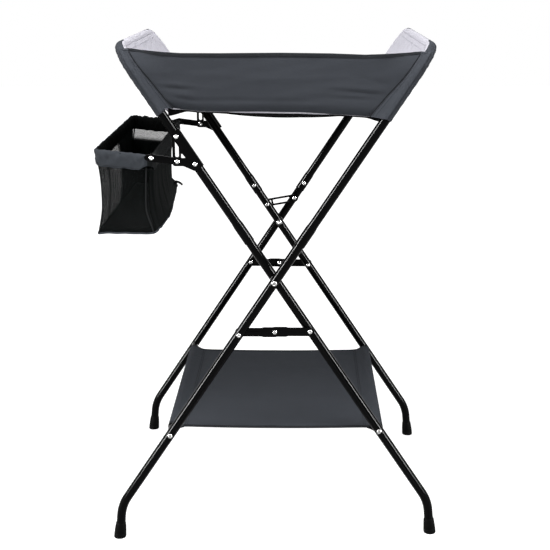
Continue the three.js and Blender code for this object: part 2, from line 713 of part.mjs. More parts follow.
/** Panel across a hoop with a sleeve round its tube. */
function makeTubEnd(frame, name) {
  const y = frame.halfDepth;
  const panelLine = roundedCorners([
    new THREE.Vector3(-y, sleeveBottomReach, 0), new THREE.Vector3(-y, hoopReach, 0),
    new THREE.Vector3(y, hoopReach, 0), new THREE.Vector3(y, sleeveBottomReach, 0),
  ], hoopBend, hoopBendSteps).map((p) => new THREE.Vector2(p.x, p.y));
  const panel = new THREE.ExtrudeGeometry(
    new THREE.Shape(panelLine), { depth: panelThickness, bevelEnabled: false });
  panel.translate(0, 0, -panelThickness / 2);
  panel.rotateX(Math.PI / 2);
  panel.rotateZ(Math.PI / 2);
  const end = solidOf(panel)
    .add(barAlong(hoopLine(frame, sleeveBottomReach), sleeveRadius))
    .subtract(barAlong(hoopLine(frame, sleeveBottomReach - overcut), tubeRadius + gap));
  addMesh(frame.group, name, end, greyFabric);
}

/** Half the width between the hoops' tube centres at a height. */
const hoopHalfWidth = (height) => (height - pivotHeight) * lean.tan;

/** Distance of the side walls from the middle: they run from the inner hoop to the outer hoop. */
function wallDistance(x, height) {
  const share = 0.5 + x / (2 * hoopHalfWidth(height));
  return THREE.MathUtils.lerp(innerHalfDepth, outerHalfDepth, share);
}

const bow = (t) => 1 - (2 * t - 1) ** 2;
const floorDrop = (u, v) => floorSag * bow(u) * (floorEdgeSag + (1 - floorEdgeSag) * bow(v));
const floorHalfLength =
  hoopHalfWidth(floorHeight - floorFabric / 2) - (panelThickness / 2 + gap) / lean.cos;

/** A side wall between the two sleeves, from the floor's edge up to a sagging top edge. */
function makeTubWall(name, end, wallHeight, topSag) {
  const surface = (offset) => (u, v, target) => {
    const low = floorHeight + floorFabric / 2 + gap - floorDrop(u, 0);
    const high = floorHeight + wallHeight - topSag * bow(u);
    const height = low + (high - low) * v;
    const halfWidth = hoopHalfWidth(height) - (sleeveRadius + gap) / lean.cos;
    const x = halfWidth * (2 * u - 1);
    return target.set(x, end * wallDistance(x, height) + offset, height);
  };
  addMesh(table, name, slab(12, 2, surface(tubFabric / 2), surface(-tubFabric / 2)), greyFabric);
}

/** The floor's surface, raised by a distance. */
const floorSurface = (above) => (u, v, target) => {
  const x = floorHalfLength * (2 * u - 1);
  const y = (wallDistance(x, floorHeight) + tubFabric / 2) * (2 * v - 1);
  return target.set(x, y, floorHeight - floorDrop(u, v) + above);
};

/** An upright prism over the floor's outline, pulled in by an inset. */
function floorPrism(inset) {
  const x = floorHalfLength - inset;
  const left = wallDistance(-x, floorHeight) - inset;
  const right = wallDistance(x, floorHeight) - inset;
  const outline = new THREE.Shape([
    new THREE.Vector2(-x, -left), new THREE.Vector2(x, -right),
    new THREE.Vector2(x, right), new THREE.Vector2(-x, left),
  ]);
  const depth = floorHeight + 2 * padThickness;
  return solidOf(new THREE.ExtrudeGeometry(outline, { depth, bevelEnabled: false }));
}

/** The room that a hoop's sleeve takes, level and plumb with the table. */
function sleeveRoom(frame) {
  return barAlong(hoopLine(frame, socketEnd), sleeveRadius + gap)
    .rotate([0, frame.side * THREE.MathUtils.radToDeg(legAngle), 0])
    .translate([0, 0, pivotHeight]);
}

function makeTub() {
  makeTubEnd(outer, 'tub_end_right');
  makeTubEnd(inner, 'tub_end_left');
  makeTubWall('tub_wall_front', -1, frontWallHeight, frontWallSag);
  makeTubWall('tub_wall_rear', 1, rearWallHeight, rearWallSag);
  const half = floorFabric / 2;
  const besideSleeves = (sheet) => sheet.subtract(sleeveRoom(outer)).subtract(sleeveRoom(inner));
  const floor = slab(8, 4, floorSurface(-half), floorSurface(half));
  addMesh(table, 'tub_floor', besideSleeves(floor), greyFabric);
  const pad = slab(8, 4, floorSurface(0), floorSurface(half + gap + padThickness))
    .intersect(floorPrism(padInset))
    .subtract(floor.translate(0, 0, gap));
  addMesh(table, 'tub_pad', besideSleeves(pad), liningFabric);
}

// ---------------------------------------------------------------- shelf

/** The lower sheet, with a sleeve round each shelf bar. */
function makeShelf() {
  const height = pivotHeight - shelfReach * lean.cos;
  const barX = shelfReach * lean.sin;
  const sleeve = shelfBarRadius + gap + shelfFabric;
  const cutDepth = shelfHalfDepth + overcut;
  const surface = (offset) => (u, v, target) =>
    target.set(barX * (2 * u - 1), shelfHalfDepth * (2 * v - 1), height - shelfSag * bow(u) + offset);
  let sheet = slab(8, 1, surface(-shelfFabric / 2), surface(shelfFabric / 2));
  [-barX, barX].forEach((x) => {
    sheet = sheet.add(pegY(sleeve, x, height, -shelfHalfDepth, shelfHalfDepth, tubeSides));
  });
  [-barX, barX].forEach((x) => {
    sheet = sheet.subtract(
      pegY(shelfBarRadius + gap, x, height, -cutDepth, cutDepth, tubeSides));
  });
  addMesh(table, 'shelf_sheet', sheet, greyFabric);
}

makePivots();
makeStretchers();
makeLock();
makeHangers();
makeBasket();
makeTub();
makeShelf();

// The origin is on the floor at the middle of the footprint.
table.updateMatrixWorld(true);
const extent = new THREE.Box3().setFromObject(table, true);
table.position.x = -(extent.min.x + extent.max.x) / 2;

export default table;
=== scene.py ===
"""The finish of a folding changing table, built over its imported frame.

Until a mesh is made, lengths are in millimetres: X from the middle of the main pivots to the
right, Y to the back, Z up from the floor. A leaning frame's own axes have Z along its tubes.
"""

import json
import math

import bmesh
import bpy
import numpy as np
from bpy.props import FloatProperty, FloatVectorProperty, IntProperty, PointerProperty
from bpy.types import Operator, Panel, PropertyGroup
from mathutils import Matrix, Vector
from mathutils.geometry import tessellate_polygon

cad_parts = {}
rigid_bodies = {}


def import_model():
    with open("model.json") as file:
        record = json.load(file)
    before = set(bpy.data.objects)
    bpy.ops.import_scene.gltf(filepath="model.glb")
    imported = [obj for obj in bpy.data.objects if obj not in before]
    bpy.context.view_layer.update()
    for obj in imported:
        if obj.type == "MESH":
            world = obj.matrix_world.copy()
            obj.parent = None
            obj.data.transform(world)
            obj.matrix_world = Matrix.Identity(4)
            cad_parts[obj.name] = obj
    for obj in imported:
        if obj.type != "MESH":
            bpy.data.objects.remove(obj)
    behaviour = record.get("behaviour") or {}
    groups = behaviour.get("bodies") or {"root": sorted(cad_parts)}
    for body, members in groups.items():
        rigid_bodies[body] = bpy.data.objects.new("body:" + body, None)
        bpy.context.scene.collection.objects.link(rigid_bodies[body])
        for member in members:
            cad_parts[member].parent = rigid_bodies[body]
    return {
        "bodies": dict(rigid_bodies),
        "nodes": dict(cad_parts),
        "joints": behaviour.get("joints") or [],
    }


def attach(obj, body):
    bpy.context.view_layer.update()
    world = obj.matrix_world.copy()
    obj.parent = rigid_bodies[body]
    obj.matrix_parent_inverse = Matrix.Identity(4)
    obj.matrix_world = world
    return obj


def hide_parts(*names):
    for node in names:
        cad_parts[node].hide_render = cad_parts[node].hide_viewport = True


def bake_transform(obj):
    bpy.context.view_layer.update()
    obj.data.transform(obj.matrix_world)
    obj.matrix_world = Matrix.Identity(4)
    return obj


bl_info = {
    "name": "Folding Changing Table",
    "version": (1, 0, 0),
    "blender": (4, 5, 0),
    "location": "3D View > Sidebar > Changing Table",
    "description": "Builds the tubes, fittings, fabric and basket of a folding changing table",
    "category": "Object",
}

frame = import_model()
PACKED = set(frame["nodes"].values()) | set(frame["bodies"].values())
for startup in [o for o in bpy.data.objects if o not in PACKED]:
    bpy.data.objects.remove(startup)
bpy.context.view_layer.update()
JOINTS = {joint["name"]: joint for joint in frame["joints"]}

MM = 0.001
PIVOT = Vector(JOINTS["fold"]["pos_m"]) / MM      # in the row frame
BASKET_PIVOT = Vector(JOINTS["basket_tilt"]["pos_m"]) / MM - Vector((PIVOT.x, 0, 0))
LEG_ANGLE = math.radians(33.5)
ANKLE_LEAN = math.radians(5.5)
OUTER = {"body": "outer_frame", "name": "outer", "side": 1, "depth": 300.0}
INNER = {"body": "inner_frame", "name": "inner", "side": -1, "depth": 270.0}
ENDS = (("front", -1), ("rear", 1))
TAU = 2 * math.pi

# Along the tubes, from the pivots to each fitting.
HOOP_TOP, HOOP_BEND = 548.0, 60.0
ANKLE_HEIGHT, ANKLE_BEND = 73.0, 90.0
SOCKET_MOUTH, SOCKET_SCREW = 90.0, 110.0
SHELF_REACH, STRETCHER_REACH = 391.0, 130.0
LOCK_REACH, STUD_REACH = 67.0, 53.0
HANGER_RIVETS = (281.0, 346.0)
BAR_X = SHELF_REACH * math.sin(LEG_ANGLE)
BAR_Z = PIVOT.z - SHELF_REACH * math.cos(LEG_ANGLE)
LINK_X = STRETCHER_REACH * math.sin(LEG_ANGLE)
LINK_Z = PIVOT.z - STRETCHER_REACH * math.cos(LEG_ANGLE)
ARM_RIVET = (-190.0, PIVOT.z + 239.5)
# How far each plate's faces lie from the table's middle.
LINK_LAYERS = {"left": (285.3, 287.8), "right": (282.2, 284.7)}
LOCK_LAYER, HANGER_LAYER, LIP_LAYER = (283.0, 286.0), (279.8, 282.8), (272.8, 282.4)
ARM_LAYER, EYE_LAYER = (276.5, 279.5), (272.9, 275.9)
# The outer frame's outside and the inner frame's inside, just off the paint.
OUTER_FACE, INNER_FACE = 309.6, 260.4


# ---------------------------------------------------------------- settings


def length(name, default, description, low=0.0):
    """A size that a user may change, in metres."""
    return FloatProperty(
        name=name, default=default, description=description, min=low,
        subtype="DISTANCE", unit="LENGTH", precision=4)


def colour(name, default, description):
    return FloatVectorProperty(
        name=name, default=default, description=description, subtype="COLOR", size=3, min=0, max=1)


class TubeSettings(PropertyGroup):
    """Tubes, fittings and fasteners."""

    tube_radius: length("Tube radius", 0.0095, "Outside radius of the frame tubes")
    socket_radius: length("Socket radius", 0.0106, "Outside radius of a hoop's expanded end")
    plate_edge: length("Plate edge", 0.0004, "Rounding along the edges of the pressed plates")
    sides: IntProperty(
        name="Tube sides", default=28, min=12, max=64, description="Flats round each frame tube")
    paint: colour("Paint", (0.0022, 0.0022, 0.0024), "Colour of the gloss paint on the tubes")
    steel: colour("Steel", (0.36, 0.36, 0.355), "Colour of the plated rivets and screws")


class ClothSettings(PropertyGroup):
    """Fabric of the tub, the shelf and the basket."""

    thread_pitch: length("Thread pitch", 0.0011, "Distance between neighbouring threads", 0.0002)
    stitch_pitch: length("Stitch pitch", 0.0042, "Distance between neighbouring stitches", 0.001)
    stitch_width: length("Stitch width", 0.0007, "Thickness of the sewing thread", 0.0001)
    net_pitch: length("Net pitch", 0.0026, "Distance between neighbouring holes in the net", 0.0005)
    shell: colour("Shell", (0.0600, 0.0655, 0.0770), "Colour of the tub's outer fabric")
    trim: colour("Trim", (0.0300, 0.0325, 0.0370), "Colour of the tapes along the edges")
    lining: colour("Lining", (0.640, 0.630, 0.690), "Colour of the fabric inside the tub")
    pad_crown: length("Pad crown", 0.004, "How far the pad's foam swells when its cover is sewn")


class StageSettings(PropertyGroup):
    """Floor, light and camera."""

    lens: FloatProperty(
        name="Focal length", default=76.82, min=10, max=300, subtype="DISTANCE_CAMERA",
        unit="CAMERA", description="Focal length of the camera")
    room_light: FloatProperty(
        name="Room light", default=0.54, min=0, max=2,
        description="Strength of the light all round")
    soft_box: FloatProperty(
        name="Soft box", default=62, min=0, max=500, subtype="POWER", unit="POWER",
        description="Power of the soft box overhead")
    floor: colour("Floor", (0.55, 0.55, 0.55), "Colour of the floor")


# ---------------------------------------------------------------- numbers


def smooth(low, high, value):
    """0 below low, 1 above high, and a smooth step between."""
    share = np.clip((np.asarray(value, float) - low) / (high - low), 0, 1)
    return share * share * (3 - 2 * share)


def bow(share):
    """0 at both ends and 1 in the middle."""
    return 1 - (2 * np.asarray(share, float) - 1) ** 2


def ripple(where, period, seed):
    """Uneven waves between about -1 and 1 along a distance, the same in each run."""
    turn = TAU * np.asarray(where, float) / period
    return (np.sin(turn + seed) + 0.6 * np.sin(1.73 * turn + 2.1 + 3 * seed)
            + 0.45 * np.sin(2.61 * turn + 4.4 + 5 * seed)
            + 0.3 * np.sin(0.41 * turn + 7 * seed)) / 1.9


def crease(x, z, centre, reach, width, tilt=0.0):
    """A long soft ridge on a flat piece: 1 on its crest, and 0 away from it."""
    turn = math.radians(tilt)
    along = (x - centre[0]) * math.cos(turn) + (z - centre[1]) * math.sin(turn)
    across = (z - centre[1]) * math.cos(turn) - (x - centre[0]) * math.sin(turn)
    return np.exp(-(along / reach) ** 2 - (across / width) ** 2)


def rounded(corners, radius, steps, closed=False):
    """Corner points with each inner corner rounded. A closed outline rounds all of them."""
    corners = [np.asarray(c, float) for c in corners]
    radii = radius if hasattr(radius, "__len__") else [radius] * len(corners)
    count, points = len(corners), []
    for i, corner in enumerate(corners):
        if radii[i] <= 0 or (not closed and i in (0, count - 1)):
            points.append(corner)
            continue
        back, ahead = corners[i - 1] - corner, corners[(i + 1) % count] - corner
        back, ahead = back / np.linalg.norm(back), ahead / np.linalg.norm(ahead)
        half = math.acos(np.clip(back @ ahead, -1, 1)) / 2
        if half > math.pi / 2 - 1e-3:
            points.append(corner)
            continue
        middle = corner + (back + ahead) / np.linalg.norm(back + ahead) * radii[i] / math.sin(half)
        start = corner + back * radii[i] / math.tan(half) - middle
        end = corner + ahead * radii[i] / math.tan(half) - middle
        sweep = math.pi - 2 * half
        for k in range(steps + 1):
            part = sweep * k / steps
            points.append(
                middle + (start * math.sin(sweep - part) + end * math.sin(part)) / math.sin(sweep))
    return np.array(points)


def spaced(points, step, closed=False):
    """The same line with a point about every step."""
    points = np.asarray(points, float)
    if closed:
        points = np.vstack([points, points[:1]])
    run = runs(points)
    count = max(2, int(round(run[-1] / step)) + 1)
    at = np.linspace(0, run[-1], count)
    line = np.stack([np.interp(at, run, points[:, k]) for k in range(points.shape[1])], axis=1)
    return line[:-1] if closed else line


def runs(points):
    """Distance along a line at each of its points."""
    return rows_apart(np.asarray(points, float)[:, None])


def rows_apart(grid):
    """Mean distance down a grid of points to each of its rows."""
    steps = np.linalg.norm(np.diff(grid, axis=0), axis=2).mean(axis=1)
    return np.concatenate([[0], np.cumsum(steps)])


def round_angles(sides):
    return np.arange(sides) * TAU / sides


def closed_round(grid):
    """The same grid with its first column again at the end."""
    return np.concatenate([grid, grid[:, :1]], axis=1)


def unit(vectors):
    size = np.linalg.norm(vectors, axis=-1, keepdims=True)
    return vectors / np.maximum(size, 1e-12)


def tangents(points, closed=False):
    points = np.asarray(points, float)
    if closed:
        return unit(np.roll(points, -1, axis=0) - np.roll(points, 1, axis=0))
    return unit(np.gradient(points, axis=0))


def lean(side, points):
    """Points in a leaning frame's axes, put level and plumb with the table."""
    points = np.atleast_2d(np.asarray(points, float))
    turn = side * LEG_ANGLE
    x, y, z = points[:, 0], points[:, 1], points[:, 2]
    return np.stack([
        x * math.cos(turn) + z * math.sin(turn), y,
        PIVOT.z - x * math.sin(turn) + z * math.cos(turn)], axis=1)


def into_row(points):
    """Millimetres from the pivots, as metres in the row frame."""
    return (np.asarray(points, float) + (PIVOT.x, 0, 0)) * MM


# ---------------------------------------------------------------- meshes


class Skin:
    """Points, faces, finishes and UVs of one mesh, gathered grid by grid."""

    def __init__(self):
        self.points, self.faces, self.slots, self.uvs, self.marks = [], [], [], [], []

    def grid(self, rows, wrap=False, flip=False, slot=0, slots=None, mark=None):
        """Quads over rows of points. Their outside is along rows crossed with columns."""
        rows = np.asarray(rows, float)
        n, m = rows.shape[:2]
        first = len(self.points)
        self.points.extend(rows.reshape(-1, 3))
        self.marks.extend(np.zeros(n * m) if mark is None else np.asarray(mark, float).reshape(-1))
        ring = closed_round(rows) if wrap else rows
        across, along = rows_apart(ring.transpose(1, 0, 2)), rows_apart(rows)
        for i in range(n - 1):
            for j in range(m if wrap else m - 1):
                k = (j + 1) % m
                quad = [(i, j, j), (i + 1, j, j), (i + 1, k, j + 1), (i, k, j + 1)]
                if flip:
                    quad.reverse()
                self.faces.append([first + r * m + c for r, c, _ in quad])
                self.uvs.extend((across[u] * MM, along[r] * MM) for r, _, u in quad)
                self.slots.append(slots[j] if slots is not None else slot)
        return self

    def fan(self, ring, flip=False, slot=0):
        """Closes a ring of points with triangles to its middle."""
        ring = np.asarray(ring, float)
        first, m = len(self.points), len(ring)
        self.points.extend([*ring, ring.mean(axis=0)])
        self.marks.extend([0.0] * (m + 1))
        for j in range(m):
            face = [first + j, first + (j + 1) % m, first + m]
            if flip:
                face.reverse()
            self.faces.append(face)
            self.uvs.extend((p[0] * MM, p[1] * MM) for p in (self.points[f] for f in face))
            self.slots.append(slot)
        return self

    def cloth(self, middle, thickness, front=0, back=0, rim=0):
        """A closed sheet of a thickness about the grid of its middle."""
        middle = np.asarray(middle, float)
        normal = unit(np.cross(np.gradient(middle, axis=0), np.gradient(middle, axis=1)))
        upper, lower = middle + normal * thickness / 2, middle - normal * thickness / 2
        self.grid(upper, slot=front)
        self.grid(lower, slot=back, flip=True)
        border = [
            (upper[0], lower[0], False), (upper[-1], lower[-1], True),
            (upper[:, 0], lower[:, 0], True), (upper[:, -1], lower[:, -1], False)]
        for top, bottom, flip in border:
            self.grid(np.stack([bottom, top]), slot=rim, flip=flip)
        return self

    def tube(self, line, radius, sides, closed=False, slot=0):
        """A round bar along a line, with eased ends. The radius is one number or one for each
        point."""
        edge, line = 0.5, np.asarray(line, float)
        radii = np.broadcast_to(np.asarray(radius, float), len(line))
        along = tangents(line, closed)
        if not closed:
            line = np.vstack([line[0], line[0] + along[0] * edge, line[1:-1],
                              line[-1] - along[-1] * edge, line[-1]])
            radii = np.concatenate([[radii[0] - edge], radii, [radii[-1] - edge]])
            along = np.vstack([along[0], along, along[-1]])
        across = np.cross(along[0], (0, 0, 1) if abs(along[0][2]) < 0.9 else (0, 1, 0))
        across = across / np.linalg.norm(across)
        angle = round_angles(sides)
        rings = []
        for point, direction, size in zip(line, along, radii):
            across = across - direction * (across @ direction)
            across = across / np.linalg.norm(across)
            other = np.cross(direction, across)
            way = np.outer(np.cos(angle), across) - np.outer(np.sin(angle), other)
            rings.append(point + size * way)
        rings = np.array(rings)
        self.grid(np.concatenate([rings, rings[:1]]) if closed else rings, wrap=True, slot=slot)
        if not closed:
            self.fan(rings[0], slot=slot)
            self.fan(rings[-1], flip=True, slot=slot)
        return self

    def build(self, name, materials, sharp=38, mark=None, level=True):
        """The mesh object. Points that lie on each other are made one, so seams are closed."""
        mesh = bpy.data.meshes.new(name)
        points = into_row(self.points) if level else np.asarray(self.points, float) * MM
        mesh.from_pydata(points.tolist(), [], self.faces)
        uv = mesh.uv_layers.new(name="UVMap")
        uv.data.foreach_set("uv", np.asarray(self.uvs, np.float32).reshape(-1))
        mesh.polygons.foreach_set("material_index", self.slots)
        if mark:
            layer = mesh.attributes.new(mark, "FLOAT", "POINT")
            layer.data.foreach_set("value", np.asarray(self.marks, np.float32))
        for material in materials:
            mesh.materials.append(material)
        bm = bmesh.new()
        bm.from_mesh(mesh)
        bmesh.ops.remove_doubles(bm, verts=bm.verts, dist=2e-6)
        bmesh.ops.dissolve_degenerate(bm, edges=bm.edges, dist=1e-7)
        bm.to_mesh(mesh)
        bm.free()
        finish_shading(mesh, sharp)
        return link(name, mesh)


def finish_shading(mesh, sharp):
    mesh.polygons.foreach_set("use_smooth", [True] * len(mesh.polygons))
    mesh.set_sharp_from_angle(angle=math.radians(sharp))
    mesh.update()


def link(name, mesh):
    piece = bpy.data.objects.new(name, mesh)
    bpy.context.scene.collection.objects.link(piece)
    return piece


def faced_out(piece):
    """The same piece with every face's front on its outside."""
    bm = bmesh.new()
    bm.from_mesh(piece.data)
    bmesh.ops.recalc_face_normals(bm, faces=bm.faces)
    bm.to_mesh(piece.data)
    bm.free()
    return piece


def settled(piece):
    """The same piece with its modifiers' result as its mesh."""
    bpy.context.view_layer.update()
    depsgraph = bpy.context.evaluated_depsgraph_get()
    mesh = bpy.data.meshes.new_from_object(piece.evaluated_get(depsgraph), depsgraph=depsgraph)
    piece.modifiers.clear()
    old, piece.data = piece.data, mesh
    bpy.data.meshes.remove(old)
    mesh.name = piece.name
    return piece


def flat_plate(name, outline, end, layer, holes=(), edge=None):
    """A pressed and painted plate at one end of the table, with its outline in XZ and its edges
    rounded."""
    low, high = sorted((end * layer[0], end * layer[1]))
    edge = bpy.context.scene.table_tubes.plate_edge / MM if edge is None else edge
    loops = [np.asarray(loop, float) for loop in (outline, *holes)]
    corners = [p for loop in loops for p in loop]
    flat = [[Vector((p[0], p[1], 0)) for p in loop] for loop in loops]
    bm = bmesh.new()
    near = [bm.verts.new((p[0], low, p[1])) for p in corners]
    far = [bm.verts.new((p[0], high, p[1])) for p in corners]
    for a, b, c in tessellate_polygon(flat):
        bm.faces.new((near[a], near[b], near[c]))
        bm.faces.new((far[c], far[b], far[a]))
    start = 0
    for loop in loops:
        for i in range(len(loop)):
            a, b = start + i, start + (i + 1) % len(loop)
            bm.faces.new((near[a], near[b], far[b], far[a]))
        start += len(loop)
    bmesh.ops.recalc_face_normals(bm, faces=bm.faces)
    bmesh.ops.dissolve_limit(bm, angle_limit=0.01, verts=bm.verts, edges=bm.edges)
    rims = [e for e in bm.edges if len(e.link_faces) == 2 and e.calc_face_angle(0) > 1.2]
    bmesh.ops.bevel(
        bm, geom=rims, offset=edge, segments=2, profile=0.6, affect="EDGES", clamp_overlap=True)
    bmesh.ops.triangulate(bm, faces=[f for f in bm.faces if len(f.verts) > 4])
    for vertex in bm.verts:
        vertex.co = (vertex.co + Vector((PIVOT.x, 0, 0))) * MM
    return painted(name, bm, 30)


def joined(name, pieces, sharp=30):
    """Several pieces of painted metal as one mesh."""
    bm = bmesh.new()
    for piece in pieces:
        bm.from_mesh(piece.data)
        bpy.data.meshes.remove(piece.data)
    return painted(name, bm, sharp)


def painted(name, bm, sharp):
    """An edited mesh as a piece of painted metal."""
    mesh = bpy.data.meshes.new(name)
    bm.to_mesh(mesh)
    bm.free()
    mesh.materials.append(finish("gloss_paint"))
    finish_shading(mesh, sharp)
    return link(name, mesh)


def put(piece, body, slot, *nodes):
    """Rides a finished piece on its body and lets it stand for its CAD nodes."""
    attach(piece, body)
    return named_for(piece, slot, nodes)


def named_for(piece, slot, nodes):
    """Hides the CAD nodes that a piece stands for; the finish it is given is not used."""
    if nodes:
        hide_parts(*nodes)
    return piece


def crossing(piece, left, right, slot, *nodes):
    """A fabric piece between the frames, with its place baked into its mesh and its CAD nodes
    hidden.
    Its left and right name the inner and the outer frame, or the other way round at the shelf, with
    the X of each end; it does not follow them."""
    (a, x_left), (b, x_right) = left, right
    start, end = into_row([[x_left, 0, 0], [x_right, 0, 0]])
    tuple(start)
    tuple(end)
    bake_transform(piece)
    return named_for(piece, slot, nodes)


# ---------------------------------------------------------------- node trees


def add(tree, kind, inputs=(), **settings):
    """A node with its settings and inputs. An input is a value or another node's socket."""
    node = tree.nodes.new(kind)
    for key, value in settings.items():
        setattr(node, key, value)
    return feed(tree, node, inputs)


def feed(tree, node, inputs):
    """Gives a node its inputs, by name or in their order."""
    for key, value in inputs.items() if isinstance(inputs, dict) else enumerate(inputs):
        if isinstance(value, bpy.types.NodeSocket):
            tree.links.new(value, node.inputs[key])
        elif value is not None:
            node.inputs[key].default_value = value
    return node


def maths(tree, operation, *inputs):
    return add(tree, "ShaderNodeMath", inputs, operation=operation).outputs[0]


def mixed(tree, share, first, second):
    """A colour between two colours."""
    return add(tree, "ShaderNodeMix", {0: share, 6: first, 7: second}, data_type="RGBA").outputs[2]


def scaled(tree, vector, scale):
    return add(
        tree, "ShaderNodeVectorMath", {0: vector, "Scale": scale}, operation="SCALE").outputs[0]


def noise(tree, vector, scale, detail=3.0, roughness=0.5):
    return add(tree, "ShaderNodeTexNoise", {
        "Vector": vector, "Scale": scale, "Detail": detail, "Roughness": roughness}).outputs[0]


def ranged(tree, value, low, high, to_low, to_high):
    return add(tree, "ShaderNodeMapRange", (value, low, high, to_low, to_high)).outputs[0]


def group(name, inputs, outputs, kind="ShaderNodeTree"):
    """An empty node group, with the sockets of its input node by name and its output node."""
    tree = bpy.data.node_groups.new(name, kind)
    for way, sockets in (("INPUT", inputs), ("OUTPUT", outputs)):
        for label, (socket, *default) in sockets.items():
            item = tree.interface.new_socket(
                name=label, in_out=way, socket_type=f"NodeSocket{socket}")
            if default:
                item.default_value = default[0]
    given = tree.nodes.new("NodeGroupInput")
    return tree, given.outputs, tree.nodes.new("NodeGroupOutput")


def grouped(tree, name, inputs):
    """A shader group placed in a material's tree."""
    return add(tree, "ShaderNodeGroup", inputs, node_tree=bpy.data.node_groups[name]).outputs


def seen_directly(tree):
    """1 for a ray from the camera, a mirror or a clear surface, and 0 for the light all round."""
    ray = add(tree, "ShaderNodeLightPath").outputs
    first = maths(tree, "MAXIMUM", ray["Is Camera Ray"], ray["Is Glossy Ray"])
    return maths(tree, "MAXIMUM", first, ray["Is Transmission Ray"])


def rgba(values):
    return (*values, 1.0)


# ---------------------------------------------------------------- finishes


def weave_group():
    """Plain weave over a UV map in metres: how high the threads stand, and their shading."""
    tree, given, out = group(
        "Plain weave", {"Vector": ["Vector"], "Pitch": ["Float", 0.001]},
        {"Height": ["Float"], "Shade": ["Float"]})
    axes = add(tree, "ShaderNodeSeparateXYZ", [given["Vector"]]).outputs
    waves = []
    for axis in (axes["X"], axes["Y"]):
        turns = maths(tree, "DIVIDE", axis, given["Pitch"])
        waves.append(maths(tree, "SINE", maths(tree, "MULTIPLY", turns, math.pi)))
    over = maths(tree, "GREATER_THAN", maths(tree, "MULTIPLY", *waves), 0.0)
    warp, weft = (maths(tree, "ABSOLUTE", wave) for wave in waves)
    height = add(tree, "ShaderNodeMix", (over, None, weft, warp), data_type="FLOAT").outputs[0]
    slub = noise(tree, given["Vector"], 900.0, 1.0)
    feed(tree, out, {
        "Height": maths(tree, "ADD", height, maths(tree, "MULTIPLY", slub, 0.35)),
        "Shade": ranged(tree, height, 0.0, 1.0, 0.86, 1.05)})


def tone_group():
    """Slow changes of colour over a fabric, with faint fibres."""
    tree, given, out = group(
        "Fabric tone",
        {"Vector": ["Vector"], "Colour": ["Color"], "Shade": ["Float"], "Variation": ["Float"]},
        {"Colour": ["Color"], "Roughness": ["Float"]})
    slow = noise(tree, given["Vector"], 7.0, 4.0, 0.6)
    fine = noise(tree, given["Vector"], 320.0, 2.0)
    both = maths(
        tree, "ADD", maths(tree, "MULTIPLY", slow, 0.7), maths(tree, "MULTIPLY", fine, 0.3))
    swing = maths(tree, "MULTIPLY", maths(tree, "SUBTRACT", both, 0.5), given["Variation"])
    level = maths(tree, "ADD", maths(tree, "MULTIPLY", swing, 2.0), 1.0)
    feed(tree, out, {
        "Colour": scaled(tree, given["Colour"], maths(tree, "MULTIPLY", level, given["Shade"])),
        "Roughness": ranged(tree, fine, 0.3, 0.7, 0.78, 0.92)})


def surface_group():
    """Slight unevenness of a hard surface: height, roughness and a dust that dulls it."""
    tree, given, out = group(
        "Hard surface",
        {"Vector": ["Vector"], "Colour": ["Color"], "Dust": ["Float"], "Smooth": ["Float"],
         "Rough": ["Float"], "Scale": ["Float"]},
        {"Colour": ["Color"], "Roughness": ["Float"], "Height": ["Float"]})
    slow = noise(tree, given["Vector"], 11.0, 5.0, 0.65)
    dust = maths(tree, "MULTIPLY", ranged(tree, slow, 0.5, 0.8, 0.0, 1.0), given["Dust"])
    feed(tree, out, {
        "Height": noise(tree, given["Vector"], given["Scale"]),
        "Roughness": ranged(tree, slow, 0.3, 0.72, given["Smooth"], given["Rough"]),
        "Colour": mixed(tree, dust, given["Colour"], rgba((0.30, 0.29, 0.28)))})


def net_group():
    """Holes of a knitted net over a UV map in metres, where the mark `open` lets light through."""
    tree, given, out = group(
        "Knitted net",
        {"Vector": ["Vector"], "Pitch": ["Float"], "Open": ["Float"], "Light": ["Float"]},
        {"Alpha": ["Float"], "Height": ["Float"]})
    axes = add(tree, "ShaderNodeSeparateXYZ", [given["Vector"]]).outputs
    across = maths(tree, "DIVIDE", axes["X"], given["Pitch"])
    down = maths(tree, "DIVIDE", axes["Y"], maths(tree, "MULTIPLY", given["Pitch"], 0.8))
    row = maths(tree, "FLOOR", down)
    shifted = maths(
        tree, "ADD", across, maths(tree, "MULTIPLY", maths(tree, "MODULO", row, 2.0), 0.5))
    offsets = [maths(tree, "SUBTRACT", maths(tree, "FRACT", place), 0.5)
               for place in (shifted, down)]
    squares = [maths(tree, "POWER", maths(tree, "ABSOLUTE", offset), 2.0) for offset in offsets]
    away = maths(tree, "SQRT", maths(tree, "ADD", *squares))
    thread = ranged(tree, away, 0.37, 0.46, 0.0, 1.0)
    hole = maths(tree, "MULTIPLY", maths(tree, "SUBTRACT", 1.0, thread), given["Light"])
    feed(tree, out, {
        "Alpha": maths(tree, "SUBTRACT", 1.0, maths(tree, "MULTIPLY", hole, given["Open"])),
        "Height": thread})


def material(name):
    """A new material's tree, and its shader."""
    made = bpy.data.materials.new(name)
    made.use_nodes = True
    return made.node_tree, made.node_tree.nodes["Principled BSDF"]


def hard_finish(name, base, smooth_to_rough, dust, grain, bump, specular=None, metallic=0.0):
    """Paint, metal, rubber or plastic."""
    tree, shader = material(name)
    place = add(tree, "ShaderNodeTexCoord").outputs["Object"]
    skin = grouped(tree, "Hard surface", {
        "Vector": place, "Colour": rgba(base), "Dust": dust, "Smooth": smooth_to_rough[0],
        "Rough": smooth_to_rough[1], "Scale": grain})
    relief = add(tree, "ShaderNodeBump", {
        "Strength": bump, "Distance": 0.0005, "Height": skin["Height"]}).outputs[0]
    feed(tree, shader, {
        "Base Color": skin["Colour"], "Roughness": skin["Roughness"], "Normal": relief,
        "Metallic": metallic})
    if specular is not None:
        feed(tree, shader, {"Specular IOR Level": specular})


